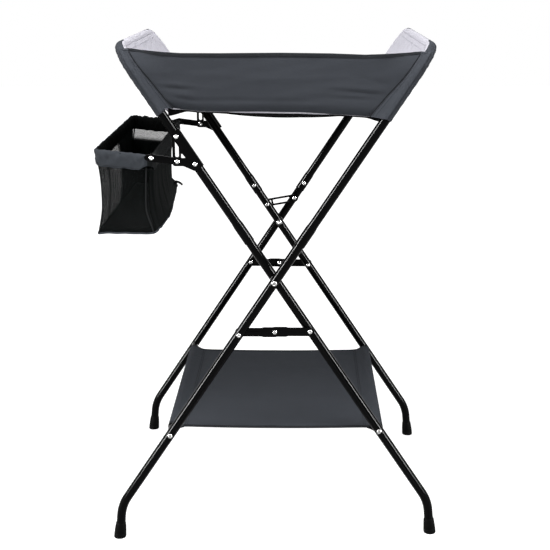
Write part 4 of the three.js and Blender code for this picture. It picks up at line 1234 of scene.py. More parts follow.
class TABLE_OT_tub_ends(Operator):
    """Makes the sleeves on the hoops, their seams and the end panels"""

    bl_idname = "changing_table.tub_ends"
    bl_label = "Tub ends"

    def execute(self, context):
        for which, label in ((INNER, "left"), (OUTER, "right")):
            sleeve = self.sleeve(which, label)
            put(sleeve, which["body"], "grey_fabric")
            flaps, rows = self.flaps(which, label)
            put(flaps, which["body"], "grey_fabric")
            threads = stitched(f"tub_flap_stitches_{label}", rows, which["body"])
            panel, top_rows = self.panel(which, label)
            put(panel, which["body"], "grey_fabric", f"tub_end_{label}")
            pale = stitched(f"tub_panel_stitches_{label}", top_rows, which["body"], "pad_lining",
                            "pale_thread")
        return {"FINISHED"}

    def sleeve(self, which, label):
        """The sleeve that the hoop slides into: pale towards the tub, grey outside."""
        side = which["side"]
        line = spaced(hoop_line(which, SLEEVE_ENDS[side], 24), 4.0)
        along = tangents(line)
        inwards = np.array([-side, 0, 0])
        outwards = np.stack([np.zeros(len(line)), -along[:, 2], along[:, 1]], axis=1)
        run = runs(line)
        on_top = smooth(0.25, 0.9, np.abs(along[:, 1]))
        # Where the pale cloth meets the grey, round the tube: further out along the top bar.
        border = np.radians(12 + 26 * smooth(0.35, 0.97, np.abs(along[:, 1])) + 38 * smooth(
            which["depth"] - 64, which["depth"] - 125, np.abs(line[:, 1])))
        pale, grey = 12, 20
        outer, inner = [], []
        for i, point in enumerate(line):
            angle = np.concatenate([np.linspace(-math.pi / 2, border[i], pale, endpoint=False),
                                    np.linspace(border[i], 1.5 * math.pi, grey, endpoint=False)])
            way = np.outer(np.cos(angle), inwards) + np.outer(np.sin(angle), outwards[i])
            bend = 1 - abs(abs(along[i, 1]) * 2 - 1)
            size = (SLEEVE_SIZE + 0.45 * ripple(run[i] + 9 * np.sin(angle), 21, side)
                    + bend * 0.55 * ripple(run[i] + 5 * np.cos(angle), 9.5, 2 + side)
                    + on_top[i] * 0.30 * ripple(run[i], 13, 4 + side))
            outer.append(point + way * np.clip(size, 10.1, 12.2)[:, None])
            inner.append(point + way * 9.75)
        outer, inner = ([lean(side, ring) for ring in rings] for rings in (outer, inner))
        flip = side > 0
        slots = [1] * pale + [0] * grey
        skin = Skin().grid(outer, wrap=True, flip=flip, slots=slots)
        skin.grid(inner, wrap=True, flip=not flip, slot=1)
        skin.grid([inner[0], outer[0]], wrap=True, flip=flip, slots=slots)
        skin.grid([outer[-1], inner[-1]], wrap=True, flip=flip, slots=slots)
        return skin.build(
            f"tub_sleeve_{label}", [finish("sleeve_fabric"), finish("lining_fabric")], 50)

    def flaps(self, which, label):
        """Where a side wall's cloth comes off the tube and is sewn down, outside and inside."""
        side = which["side"]
        skin, rows = Skin(), []
        for end in (-1, 1):
            for layer, out in ((0, 1), (1, -1)):
                grid = self.flap(which, end, out)
                facing_out = grid[:, ::-1] if side * end * out > 0 else grid
                skin.cloth(facing_out, 1.0, front=layer, back=layer, rim=layer)
                if out > 0:
                    rows += [grid[1:-1, column] + (0, end * 0.75, 0) for column in (9, 7)]
                    edge = grid[-1, 4:] + (0, 0, 0.2)
                    tape_along(skin, edge, grid[-3, 4:], (0, end, 0), 5, 1.4, 0)
                    # A dark line along each seam: the thread, darkened further as a painted shadow
                    # of the fold.
                    skin.tube(grid[:, -1] + (0, end * 0.3, 0), 1.0, 8, slot=2)
        made = skin.build(f"tub_flaps_{label}", [
            finish("sleeve_fabric"), finish("lining_fabric"), finish("sewing_thread")])
        return made, rows

    def flap(self, which, end, out):
        """The middle of one flap: rows up it, and columns from the hoop to the wall's seam."""
        side, outside = which["side"], out > 0
        t, s = np.meshgrid(np.linspace(0, 1, 30), np.linspace(0, 1, 11), indexing="ij")
        z = np.full(t.shape, 930.0)
        for _ in range(SETTLING):
            reach = np.interp(z, *FLAP_REACH[side]) * (1 if outside else 0.8)
            x = side * (hoop_half_width(z) - s * reach)
            low, high = wall_edges(end, x)
            sleeve_foot = PIVOT.z + SLEEVE_ENDS[side] * math.cos(LEG_ANGLE)
            low = np.minimum(low, sleeve_foot + s * reach * math.tan(LEG_ANGLE) + 1.0)
            z = low + (high - low) * t
        steep = np.sqrt(1 - hoop_bend_share(z) ** 2)
        clear = 1.3                     # the flap over the sleeve's outside
        seat = hoop_outside(z, SLEEVE_SIZE + clear) if outside else 11.0 / steep
        stand = 1.9 if outside else 1.7
        ease = smooth(0.0, 1.0, s) ** 0.85
        tube_y = which["depth"] - hoop_inset(z)
        y = (tube_y + out * seat) * (1 - ease) + (wall_distance(x, z) + out * stand) * ease
        y = y + out * 0.35 * ripple(z + 14 * s, 19, side + end) * bow(s)
        # Nowhere does it pass through the sleeve.
        aside = s * reach * math.cos(LEG_ANGLE)
        over = np.sqrt(np.clip(SLEEVE_CLEAR ** 2 - aside ** 2, 0, None))
        round_sleeve = tube_y + (
            hoop_outside(z, over + clear) if outside else -0.9 - over / steep)
        y = np.where(aside < SLEEVE_CLEAR, out * np.maximum(out * y, out * round_sleeve), y)
        return np.stack([x, end * y, z], axis=-1)

    def panel(self, which, label):
        """The end of the tub across the hoop: lined inside, grey outside."""
        side, depth = which["side"], which["depth"]
        low, high, bend, start = 390.0, 543.0, 55.0, HOOP_TOP - HOOP_BEND
        reach = np.concatenate([np.linspace(low, 486, 20), np.linspace(490, high, 18)])
        half = depth - 5.0 - np.where(reach > start, 1, 0) * (
            bend - np.sqrt(np.clip(bend ** 2 - (reach - start) ** 2, 0, None)))
        r, a = np.meshgrid(reach, np.linspace(-1, 1, 81), indexing="ij")
        y = half[:, None] * a
        # Its lower corners stop inside the sleeves.
        lift = SLEEVE_ENDS[side] + 3 - low
        r = r + lift * smooth(0.90, 0.99, np.abs(a)) * np.clip((430 - r) / 40, 0, 1)
        slack = bow(0.5 + a / 2) * bow((r - low) / (high - low))
        x = side * (-9.3 + 3.0 * slack + smooth(0, 0.25, slack) * (
            0.8 * ripple(y + 0.5 * r, 120, side) + 0.5 * ripple(r - 0.2 * y, 48, 2 * side)))
        flat = np.stack([x, y, r], axis=-1)
        grid = lean(side, flat.reshape(-1, 3)).reshape(flat.shape)
        skin = Skin().cloth(grid[:, ::-1] if side > 0 else grid, 1.6, **WALL_FABRIC)
        fabrics = [finish("shell_fabric"), finish("lining_fabric")]
        made = skin.build(f"tub_panel_{label}", fabrics)
        if made.data.polygons[0].normal.x * side < 0:
            made.data.materials[0], made.data.materials[1] = reversed(fabrics)
        seam = flat[-1, 3:-3] - (side * 1.1, 0, 9.0)
        return made, [lean(side, seam)]


class TABLE_OT_tub_walls(Operator):
    """Makes the tub's front and rear walls, with their tapes and stitches"""

    bl_idname = "changing_table.tub_walls"
    bl_label = "Tub walls"

    def execute(self, context):
        for label, end in ENDS:
            rows_up = 40 if end < 0 else 24
            grid = wall_point(end, *np.meshgrid(
                np.linspace(0, 1, 150), np.linspace(0, 1, rows_up), indexing="ij"))
            skin = Skin().cloth(grid if end < 0 else grid[::-1], 1.8, **WALL_FABRIC)
            near_end = smooth(40, 25, hoop_half_width(grid[:, -1, 2]) - np.abs(grid[:, -1, 0]))
            tape_along(skin, grid[:, -1], grid[:, -4], (0, end, 0), 7.0, 1.7 + 0.9 * near_end, 2)
            # The lining's edge is rolled out under the hem in the middle and at the left corner.
            x = grid[:, 0, 0]
            shown = bow(np.clip((x + 88) / 196, 0, 1)) ** 0.5 + np.exp(-((x + 194) / 8) ** 2)
            rolled = grid[:, 0] + np.column_stack([0 * x, end * (0.9 * shown - 0.2), -0.5 - shown])
            skin.tube(rolled, 0.7 + shown, 8, slot=1)
            wall = skin.build(f"tub_wall_{label}_cloth", [
                finish("shell_fabric"), finish("lining_fabric"), finish("trim_tape")])
            hem_seam = grid[:, -1] + (0, end * 2.25, -5.4)
            threads = stitched(f"tub_wall_stitches_{label}", [hem_seam])
            ends_at = (INNER["body"], -235.0), (OUTER["body"], 245.0)
            crossing(wall, *ends_at, "grey_fabric", f"tub_wall_{label}")
            crossing(threads, *ends_at, "grey_fabric")
        return {"FINISHED"}


FLOOR_HALF, FLOOR_UNDER = 207.5, 1.6     # half the floor's width, and its rim under the walls
FLOOR_HEIGHT, FLOOR_SAG = 889.0, 17.0


def floor_height(x, y_share):
    """Height of the tub's floor: y_share is -1 at the front edge and 1 at the rear edge."""
    sag = FLOOR_SAG * bow(0.5 + x / 430.0)
    base = FLOOR_HEIGHT - sag * (0.35 + 0.65 * (1 - y_share ** 2))
    for end in (-1, 1):
        low, _ = wall_edges(end, x)
        edge = smooth(0.62, 1.0, end * y_share)
        base = base * (1 - edge) + (low - 5.0) * edge
    return base


def floor_edge_drop(x):
    """How far the floor's turned-up edge shows below a side wall."""
    middle = 7.6 * np.clip(bow((x + 100) / 225), 0, 1)
    left_ear, right_ear = 13.0 * smooth(-165, -209, x), 5.0 * smooth(172, 206, x)
    return 1.6 + middle + left_ear + right_ear


class TABLE_OT_tub_floor(Operator):
    """Makes the tub's floor and the pad on it"""

    bl_idname = "changing_table.tub_floor"
    bl_label = "Tub floor and pad"

    def execute(self, context):
        self.floor()
        self.pad(context.scene.table_cloth.pad_crown / MM)
        return {"FINISHED"}

    def floor(self):
        x = np.linspace(-FLOOR_HALF, FLOOR_HALF, 88)

        def rim(end):
            """The edge turned up behind a wall and back down under it, as rows."""
            low, _ = wall_edges(end, x)
            edge_y, drop = wall_distance(x, low) - 9.6, floor_edge_drop(x)
            return [np.stack([x, end * (edge_y + out), low - FLOOR_UNDER - share * drop], axis=1)
                    for out, share in ((-0.6, 0), (0.3, 0.45), (-0.6, 0.9), (-3.0, 1))]

        middle = []
        for share in np.linspace(-1, 1, 50)[1:-1]:
            end = -1 if share < 0 else 1
            low, _ = wall_edges(end, x)
            near = smooth(0.80, 1.0, abs(share))
            rim_z = low - FLOOR_UNDER - floor_edge_drop(x)
            middle.append(np.stack([
                x, (wall_distance(x, low) - 13.0) * share,
                floor_height(x, share) * (1 - near) + rim_z * near], axis=1))
        grid = np.array([*rim(-1), *middle, *reversed(rim(1))])
        # Its underside takes the near-black floor cloth, partly a painted shade under the tub.
        skin = Skin().cloth(grid[::-1], 2.0, front=1, back=0, rim=0)
        floor = skin.build("tub_floor_cloth", [finish("floor_fabric"), finish("lining_fabric")])
        if floor.data.polygons[0].normal.z < 0:
            floor.data.flip_normals()
        crossing(floor, (INNER["body"], -206.0), (OUTER["body"], 206.0), "grey_fabric", "tub_floor")

    def pad(self, crown):
        """A foam pad in a sewn cover with a piped edge, lying on the floor."""
        inset, thick, half_x, corner = 7.5, 12.0, 206.0, 8.0
        a, b = np.meshgrid(np.linspace(-1, 1, 44), np.linspace(-1, 1, 58), indexing="ij")
        x = half_x * a
        half = wall_distance(x, np.full(x.shape, 892.0)) - 15.0 - inset
        y = half * b
        edge = np.minimum(half_x * (1 - np.abs(a)), half * (1 - np.abs(b)))
        bed = floor_height(x, np.clip(y / (half + inset), -1, 1)) + 1.9
        round_edge = np.sqrt(np.clip(1 - (1 - np.clip(edge / corner, 0, 1)) ** 2, 0, 1))
        seam = bed + thick * 0.45
        top = np.stack([x, y, seam + (bed + thick - seam) * round_edge], axis=-1)
        bottom = np.stack([x, y, seam - (seam - bed) * round_edge], axis=-1)
        skin = Skin().grid(top).grid(bottom, flip=True)
        cover = skin.build("tub_pad_cover", [finish("lining_fabric")], 60)
        outline = np.concatenate([top[:-1, 0], top[-1, :-1], top[:0:-1, -1], top[0, :0:-1]])
        cover = self.swollen(cover, crown)
        uv_from_above(cover)
        line = spaced(outline, 6.0, closed=True) * (1.0045, 1.0035, 1)
        welt = Skin().tube(line, 1.5, 8, closed=True)
        piping = welt.build("tub_pad_piping", [finish("pale_thread")])
        ends_at = (INNER["body"], -200.0), (OUTER["body"], 200.0)
        crossing(cover, *ends_at, "pad_lining", "tub_pad")
        crossing(piping, *ends_at, "pad_lining")

    def swollen(self, cover, crown):
        """Sews the cover tight over its foam: a short cloth simulation under pressure."""
        scene, frames, pressure = bpy.context.scene, 20, 4.0
        remesh = cover.modifiers.new("Remesh", "REMESH")
        remesh.mode, remesh.voxel_size = "VOXEL", 0.0055
        cover = settled(cover)
        rest = np.array([v.co for v in cover.data.vertices])
        cloth = cover.modifiers.new("Cloth", "CLOTH")
        settings = cloth.settings
        settings.use_pressure, settings.uniform_pressure_force = True, pressure
        settings.effector_weights.gravity, settings.quality = 0.0, 4
        cloth.collision_settings.use_collision = False
        cloth.point_cache.frame_start, cloth.point_cache.frame_end = 1, frames
        for step in range(1, frames + 1):
            scene.frame_set(step)
        depsgraph = bpy.context.evaluated_depsgraph_get()
        mesh = bpy.data.meshes.new_from_object(cover.evaluated_get(depsgraph), depsgraph=depsgraph)
        moved = np.array([v.co for v in mesh.vertices]) - rest
        cover.modifiers.clear()
        scene.frame_set(1)
        # It swells upwards, hardly sideways, and the bed below holds it.
        sideways = 0.8
        limit = np.array([sideways, sideways, crown]) * MM
        moved = np.clip(moved, -limit, limit)
        moved[:, 2] = np.where(moved[:, 2] < 0, 0.15 * moved[:, 2], moved[:, 2])
        cover.data.vertices.foreach_set("co", (rest + moved).astype(np.float32).reshape(-1))
        bpy.data.meshes.remove(mesh)
        smoothing = cover.modifiers.new("Smooth", "SMOOTH")
        smoothing.factor, smoothing.iterations = 0.5, 3
        finer = cover.modifiers.new("Subdivision", "SUBSURF")
        finer.levels = finer.render_levels = 1
        cover = settled(cover)
        cover.data.materials.clear()
        cover.data.materials.append(finish("lining_fabric"))
        finish_shading(cover.data, 60)
        return cover


def uv_from_above(piece):
    """A UV map in metres from a piece's X and Y."""
    mesh = piece.data
    while mesh.uv_layers:
        mesh.uv_layers.remove(mesh.uv_layers[0])
    layer = mesh.uv_layers.new(name="UVMap")
    places = np.array([v.co[:2] for v in mesh.vertices], np.float32)
    corners = np.zeros(len(mesh.loops), np.int32)
    mesh.loops.foreach_get("vertex_index", corners)
    layer.data.foreach_set("uv", places[corners].reshape(-1))


# ---------------------------------------------------------------- shelf


class TABLE_OT_shelf(Operator):
    """Makes the lower sheet, with its sleeves round the shelf bars"""

    bl_idname = "changing_table.shelf"
    bl_label = "Shelf"

    def execute(self, context):
        left, right = self.wrap_round(-1), self.wrap_round(1)[::-1]
        across = np.linspace(left[-1, 0], right[0, 0], 62)[1:-1]
        flat = np.column_stack([across, np.full(len(across), BAR_Z + SHELF_LIFT)])
        grid = np.array([self.row(x, z) for x, z in (*left, *flat, *right)])
        skin = Skin().cloth(grid, 1.3, front=0, back=0, rim=1)
        sheet = skin.build("shelf_cloth", [finish("shell_fabric"), finish("trim_tape")], 50)
        for face in sheet.data.polygons:
            face.material_index = int(abs(face.center.y / MM) > SHELF_HALF - 4.5 - SHELF_HEM + 0.5)
        over = slice(len(left) - 6, len(left) + 66)
        rows = [grid[over, column] + (0, shift, 0.95) for column, shift in ((1, -0.8), (-2, 0.8))]
        for sign in (-1, 1):
            seam = grid[len(left) - 1 if sign < 0 else -len(right), 1:-1] + (0, 0, 0.95)
            rows += [seam, seam - (sign * 4.0, 0, 0)]
        threads = stitched("shelf_stitches", rows)
        free = BAR_X - SHELF_LAP - 4
        ends_at = (OUTER["body"], -free), (INNER["body"], free)
        crossing(sheet, *ends_at, "grey_fabric", "shelf_sheet")
        crossing(threads, *ends_at, "grey_fabric")
        return {"FINISHED"}

    def wrap_round(self, sign):
        """The section from a sewn lap, under and round its bar, to the top of the sheet."""
        size = 9.0
        lap_x, over_x = np.linspace(SHELF_LAP, 2, 9), np.linspace(2, SHELF_LAP + 2, 10)
        angle = np.radians(np.linspace(270, 90, 18))
        closing = smooth(SHELF_LAP, 0, lap_x)
        points = np.vstack([
            np.column_stack([lap_x, -size * closing - (1 - closing)]),
            size * np.column_stack([np.cos(angle), np.sin(angle)]),
            np.column_stack([over_x, size * smooth(SHELF_LAP, 0, over_x) + SHELF_LIFT])])
        return points * (-sign, 1) + (sign * BAR_X, BAR_Z)

    def row(self, x, z):
        """One row of the sheet from front to rear, with its sag and its waves."""
        inside = smooth(8, 40, BAR_X - abs(x))
        share = np.linspace(-1, 1, 42)
        y = share * (SHELF_HALF - np.where(share < 0, 3.5, 4.5) * inside)
        y[1], y[-2] = y[0] + SHELF_HEM, y[-1] - SHELF_HEM
        waves = (0.7 * ripple(y + 0.15 * x, 130, 0.4) + 0.5 * ripple(x, 150, 2.2)
                 + 0.45 * ripple(y - 0.1 * x, 46, 1.9) * smooth(60, 190, x))
        for centre, reach, width, tilt, rise in SHELF_CREASES:
            waves = waves + rise * crease(x, y, centre, reach, width, tilt)
        waves = waves * smooth(0, 16, SHELF_HALF - np.abs(y)) - 3.2 * bow(0.5 + x / (2 * BAR_X))
        return np.column_stack([np.full(len(y), x), y, z + inside * waves])


SHELF_HALF, SHELF_HEM, SHELF_LAP, SHELF_LIFT = 259.0, 9.0, 24.0, 0.25
SHELF_CREASES = (
    ((140, -205), 60, 6, 4, 1.4), ((150, -165), 70, 7, -3, -1.3), ((135, -120), 80, 8, 3, 1.2),
    ((160, -70), 60, 7, -4, -1.0), ((-120, -190), 80, 9, -8, 0.9), ((-140, 60), 70, 10, 5, -0.9),
    ((0, -230), 120, 6, 0, -0.8), ((20, 120), 120, 12, 3, 0.9))


# ---------------------------------------------------------------- basket


# Sizes from the basket's pivots: the rim's width and half depth, its bend and its rise.
RIM_WIDTH, RIM_DEPTH, RIM_BEND, RIM_TILT = 111.4, 268.0, 14.0, math.tan(math.radians(6))
BASKET_DEPTH, BAND_FOOT = 153.0, 24.0    # down to the base, and to where the bag leaves the band
BAND_SECTION = (                        # outwards from the wire and up: down, over it and back
    (1.6, -28.5), (2.4, -24), (3.2, -16), (3.9, -9), (4.3, -3.5), (3.7, 1.6), (2.2, 3.9), (0, 4.6),
    (-2.2, 3.9), (-3.7, 1.6), (-4.2, -3.5), (-3.6, -9), (-2.6, -16), (-1.4, -24), (-0.6, -27.5),
    (0.6, -28.9))


def inside_corners(x, y):
    """Points in from the rim's corners: front right, front left, rear left and rear right."""
    left, back = -RIM_WIDTH + x, RIM_DEPTH - y
    return [(-x, -back), (left, -back), (left, back), (-x, back)]


def rim_height(x):
    """The rim rises away from its pivots."""
    return -np.asarray(x, float) * RIM_TILT


def bag_height(x, share):
    """Height of the bag's cloth at a share of its depth, below a place on the rim."""
    return (rim_height(x) - BAND_FOOT) * (1 - share) - BASKET_DEPTH * share


class TABLE_OT_basket(Operator):
    """Makes the side basket: its wire rim, gathered band, net bag, piping and base"""

    bl_idname = "changing_table.basket"
    bl_label = "Basket"

    def execute(self, context):
        self.origin = np.array([BASKET_PIVOT.x, 0, BASKET_PIVOT.z])
        self.rim()
        band = self.band()
        bag = self.bag()
        trims = self.piping()
        self.base()
        tab = self.tab()
        return {"FINISHED"}

    def around(self, step):
        """Points round the rim with their outward directions and their distance round it."""
        base = spaced(rounded(inside_corners(0, 0), RIM_BEND, 10, closed=True), step, closed=True)
        along = tangents(base, closed=True)
        out = np.stack([-along[:, 1], along[:, 0]], axis=1)
        if (out * (base + (RIM_WIDTH / 2, 0))).sum() < 0:
            out = -out
        return base, out, runs(base)

    def level(self, points, z):
        """Points (x, y) from the basket's pivots at their heights, in the table's place."""
        points = np.asarray(points)
        return np.column_stack([points, np.broadcast_to(z, len(points))]) + self.origin

    def rim(self):
        """The wire, with the eyes that turn on the pins."""
        base, _, _ = self.around(5.0)
        wire = Skin().tube(self.level(base, rim_height(base[:, 0])), 3.0, 12, closed=True)
        eye = np.vstack([arc((0, 0), 8.0, -90, 90, 12), arc((-9, 0), 5.5, 90, 270, 8)])
        eye = eye + (BASKET_PIVOT.x, BASKET_PIVOT.z)
        pieces = [wire.build("wire", [finish("gloss_paint")])]
        pieces += [flat_plate("eye", eye, end, EYE_LAYER) for _, end in ENDS]
        put(joined("basket_rim_wire", pieces, 40), "basket", "frame_paint", "basket_rim")

    def band(self):
        """The band gathered over the wire."""
        base, out, run = self.around(2.6)
        normal, up = np.array(BAND_SECTION).T
        down = np.clip(-up / 28.5, 0, 1)
        rows = []
        for (x, y), direction, s in zip(base, out, run):
            lift = ((0.9 + 1.4 * smooth(200, 262, y)) * ripple(s, 24, 0.7)
                    + 0.5 * ripple(s, 8.5, 2.9))
            pinch = 1 - smooth(30, 6, abs(x) + 2 * abs(abs(y) - RIM_DEPTH)) * 0.42
            fold = (2.3 * ripple(s + 1.6 * up, 34, 3.3) + 1.0 * ripple(s - 0.8 * up, 15, 5.3)
                    + 0.7 * ripple(s, 8.3, 1.1) * (1 - down)) * bow(0.12 + 0.8 * down)
            height = (up * (1 + 0.02 * ripple(s, 60, 5.0)) * pinch
                      + lift * np.clip(1 + up / 14, 0, 1))
            height = height + np.where(up < -22, 1.1 * ripple(s, 31, 1.4) * down, 0)
            reach = normal + fold * np.sign(normal + 0.01)
            rows.append(self.level((x, y) + np.outer(reach, direction), rim_height(x) + height))
        # The outer half is the grey band cloth. The inner half, from the top of the fold down
        # inside, takes the near-black basket cloth as a painted shade inside the basket.
        skin = Skin().grid([*rows, rows[0]], wrap=True, slots=[0] * 7 + [1] * 9)
        band = skin.build("basket_band", [
            finish("basket_band"), finish("basket_fabric"), finish("piping")], 60)
        # The band's outside along the long side by the arms takes the darker piping cloth: a
        # painted shade, as that side lies in the shadow under the tub.
        corner = into_row(self.origin - (11, 0, 0))[0]
        for face in band.data.polygons:
            if face.material_index == 0 and face.center.x > corner:
                face.material_index = 2
        first = band.data.polygons[5]
        if first.normal.dot(first.center - Vector(into_row(rows[0].mean(axis=0)))) < 0:
            band.data.flip_normals()
        put(band, "basket", "grey_fabric")
        seam = self.level(base + out * 3.1, rim_height(base[:, 0]) - 25.5)
        stitched("basket_band_stitches", [[*seam, seam[0]]], "basket")
        return band

    def outline_at(self, share, steps_round):
        """The bag's outline at a share of its depth: pinched at the waist, full at its base."""
        base, out, run = steps_round
        waist, low = bow(share) ** 0.8, smooth(0.6, 1.0, share)
        # The board squares the corners off at the base.
        centre = np.clip(base, (-RIM_WIDTH + RIM_BEND, -RIM_DEPTH + RIM_BEND),
                         (-RIM_BEND, RIM_DEPTH - RIM_BEND))
        square = 0.8 * low * RIM_BEND * (1 / np.abs(unit(base - centre)).max(axis=1) - 1)
        step = square + 1.2 * low - waist * (
            8.0 * np.clip(-out[:, 0], 0, 1) + 2.5 * np.clip(out[:, 0], 0, 1)
            + 3.5 * np.abs(out[:, 1]))
        step = step + 1.2 * ripple(run + 20 * share, 61, 1.3) * waist
        step = step + 0.4 * ripple(run, 23, 0.2) * (1 - share)
        outline = base + out * step[:, None]
        # The inner side hangs full towards its base, and its corners are drawn in.
        inner = smooth(0.7, 0.95, out[:, 0])
        full = inner * 10.0 * smooth(0.35, 1.0, share) * np.exp(-((base[:, 1] + 90) / 130) ** 2)
        near = np.exp(-(np.hypot(base[:, 0], base[:, 1] + RIM_DEPTH) / 30) ** 2)
        far = np.exp(-(np.hypot(base[:, 0], base[:, 1] - RIM_DEPTH) / 105) ** 2)
        foot = smooth(0.84, 0.98, share)
        drawn = 21.0 * smooth(-0.05, 0.25, share) * (1 - foot) + 9.0 * foot
        outline[:, 0] += full - 8.5 * near * (1 - smooth(0.62, 1.0, share)) - far * drawn
        return outline

    def openness(self, x, y, share, out):
        """Where light comes through the net. Elsewhere the cloth is doubled."""
        near = 0.8 * (y < -RIM_DEPTH + 12)
        far = (y > RIM_DEPTH - 12) * smooth(0.22, 0.15, share)
        pleat = 1 - crease(y, 0 * y, (-150, 0), 9.0, 1.0)
        left = 0.7 * (x < -RIM_WIDTH + 14) * smooth(40, -10, y) * pleat
        return np.clip(np.maximum(np.maximum(near, far), left * (out[:, 0] < -0.7)), 0, 1)

    def bag(self):
        """The net bag, and the doubled cloth of its base above and under the board."""
        round_rim = base, out, run = self.around(4.0)
        outer, inner, marks = [], [], []
        for share in np.linspace(0, 1, 30):
            z = bag_height(base[:, 0], share) + 1.5 * smooth(0.85, 1, share) * ripple(run, 90, 2.0)
            row = self.level(self.outline_at(share, round_rim), z)
            normal = np.column_stack([out, 0 * run]) * 0.3
            outer.append(row + normal)
            inner.append(row - normal)
            marks.append(self.openness(base[:, 0], base[:, 1], share, out))
        middle = outer[-1].mean(axis=0)
        outer, inner, marks = (closed_round(np.array(rows)) for rows in (outer, inner, marks))
        skin = Skin().grid(outer, mark=marks)
        skin.grid(inner[:-1], flip=True, mark=marks[:-1])
        skin.grid([inner[0], outer[0]])
        for edge, wall, shares, lift, flip in (
                (outer[-1], outer[-1], (0.98, 0.9, 0.5, 0.1), -0.8, False),
                (inner[-2], inner[-1], (0.97, 0.9, 0.5, 0.1), 1.0, True)):
            sheet = [edge, *[middle + (wall - middle) * k + (0, 0, lift) for k in shares]]
            skin.grid(sheet, slot=1, flip=flip)
            skin.fan(sheet[-1][:-1], slot=1, flip=flip)
        bag = skin.build("basket_bag_net", [finish("basket_net"), finish("basket_fabric")], 60,
                         mark="open")
        return put(faced_out(bag), "basket", "basket_mesh", "basket_bag")

    def piping(self):
        """Piped seams down the bag's corners and round its base."""
        round_rim = base, out, run = self.around(4.0)
        skin = Skin()
        for place in inside_corners(4, 4):
            corner = int(np.argmin(np.hypot(*(base - place).T)))
            line = []
            for share in np.linspace(-0.02, 1.0, 24):
                point = self.outline_at(max(share, 0), round_rim)[corner] + out[corner]
                line.append((*point, bag_height(base[corner, 0], share)))
            skin.tube(np.array(line) + self.origin, 1.5, 8)
        foot = self.level(self.outline_at(1.0, round_rim) + out * 0.9,
                          -BASKET_DEPTH + 1.5 * ripple(run, 90, 2.0))
        skin.tube(foot, 1.9, 8, closed=True, slot=1)
        piece = skin.build("basket_piping", [finish("piping"), finish("basket_band")])
        return put(piece, "basket", "basket_mesh")

    def base(self):
        """The stiff board in the basket's base, with its far corner by the arm cut back."""
        corners = inside_corners(3, 4)
        corners = [corners[1], corners[0], (-14, RIM_DEPTH - 4), corners[2]]
        outline = rounded(corners, 10, 6, closed=True)
        middle = outline.mean(axis=0)
        low, high = -BASKET_DEPTH + 2.2, -BASKET_DEPTH + 4.7
        rings = [self.level(middle + (outline - middle) * (1 + grow / 60, 1 + grow / 270), z)
                 for grow, z in ((-0.8, low), (0, low + 0.6), (0, high - 0.6), (-0.8, high),
                                 (-30, high))]
        skin = Skin().grid(rings, wrap=True).fan(rings[0]).fan(rings[-1], flip=True)
        board = faced_out(skin.build("basket_board_plate", [finish("board_sheet")]))
        put(board, "basket", "board_plastic", "basket_board")

    def tab(self):
        """A tab sewn to the basket's inner side."""
        s, t = np.meshgrid(np.linspace(0, 1, 10), np.linspace(0, 1, 12), indexing="ij")
        x = -13.0 + 20.0 * t + 1.2 * np.sin(5 * s) * t
        y = RIM_DEPTH - 32 + 24 * s * (1 - 0.3 * t)
        z = -139 - 9 * s - 6 * t + 3 * bow(t)
        skin = Skin().cloth(np.stack([x, y, z], axis=-1) + self.origin, 1.2)
        return put(skin.build("basket_tab", [finish("piping")]), "basket", "basket_mesh")


# ---------------------------------------------------------------- stage


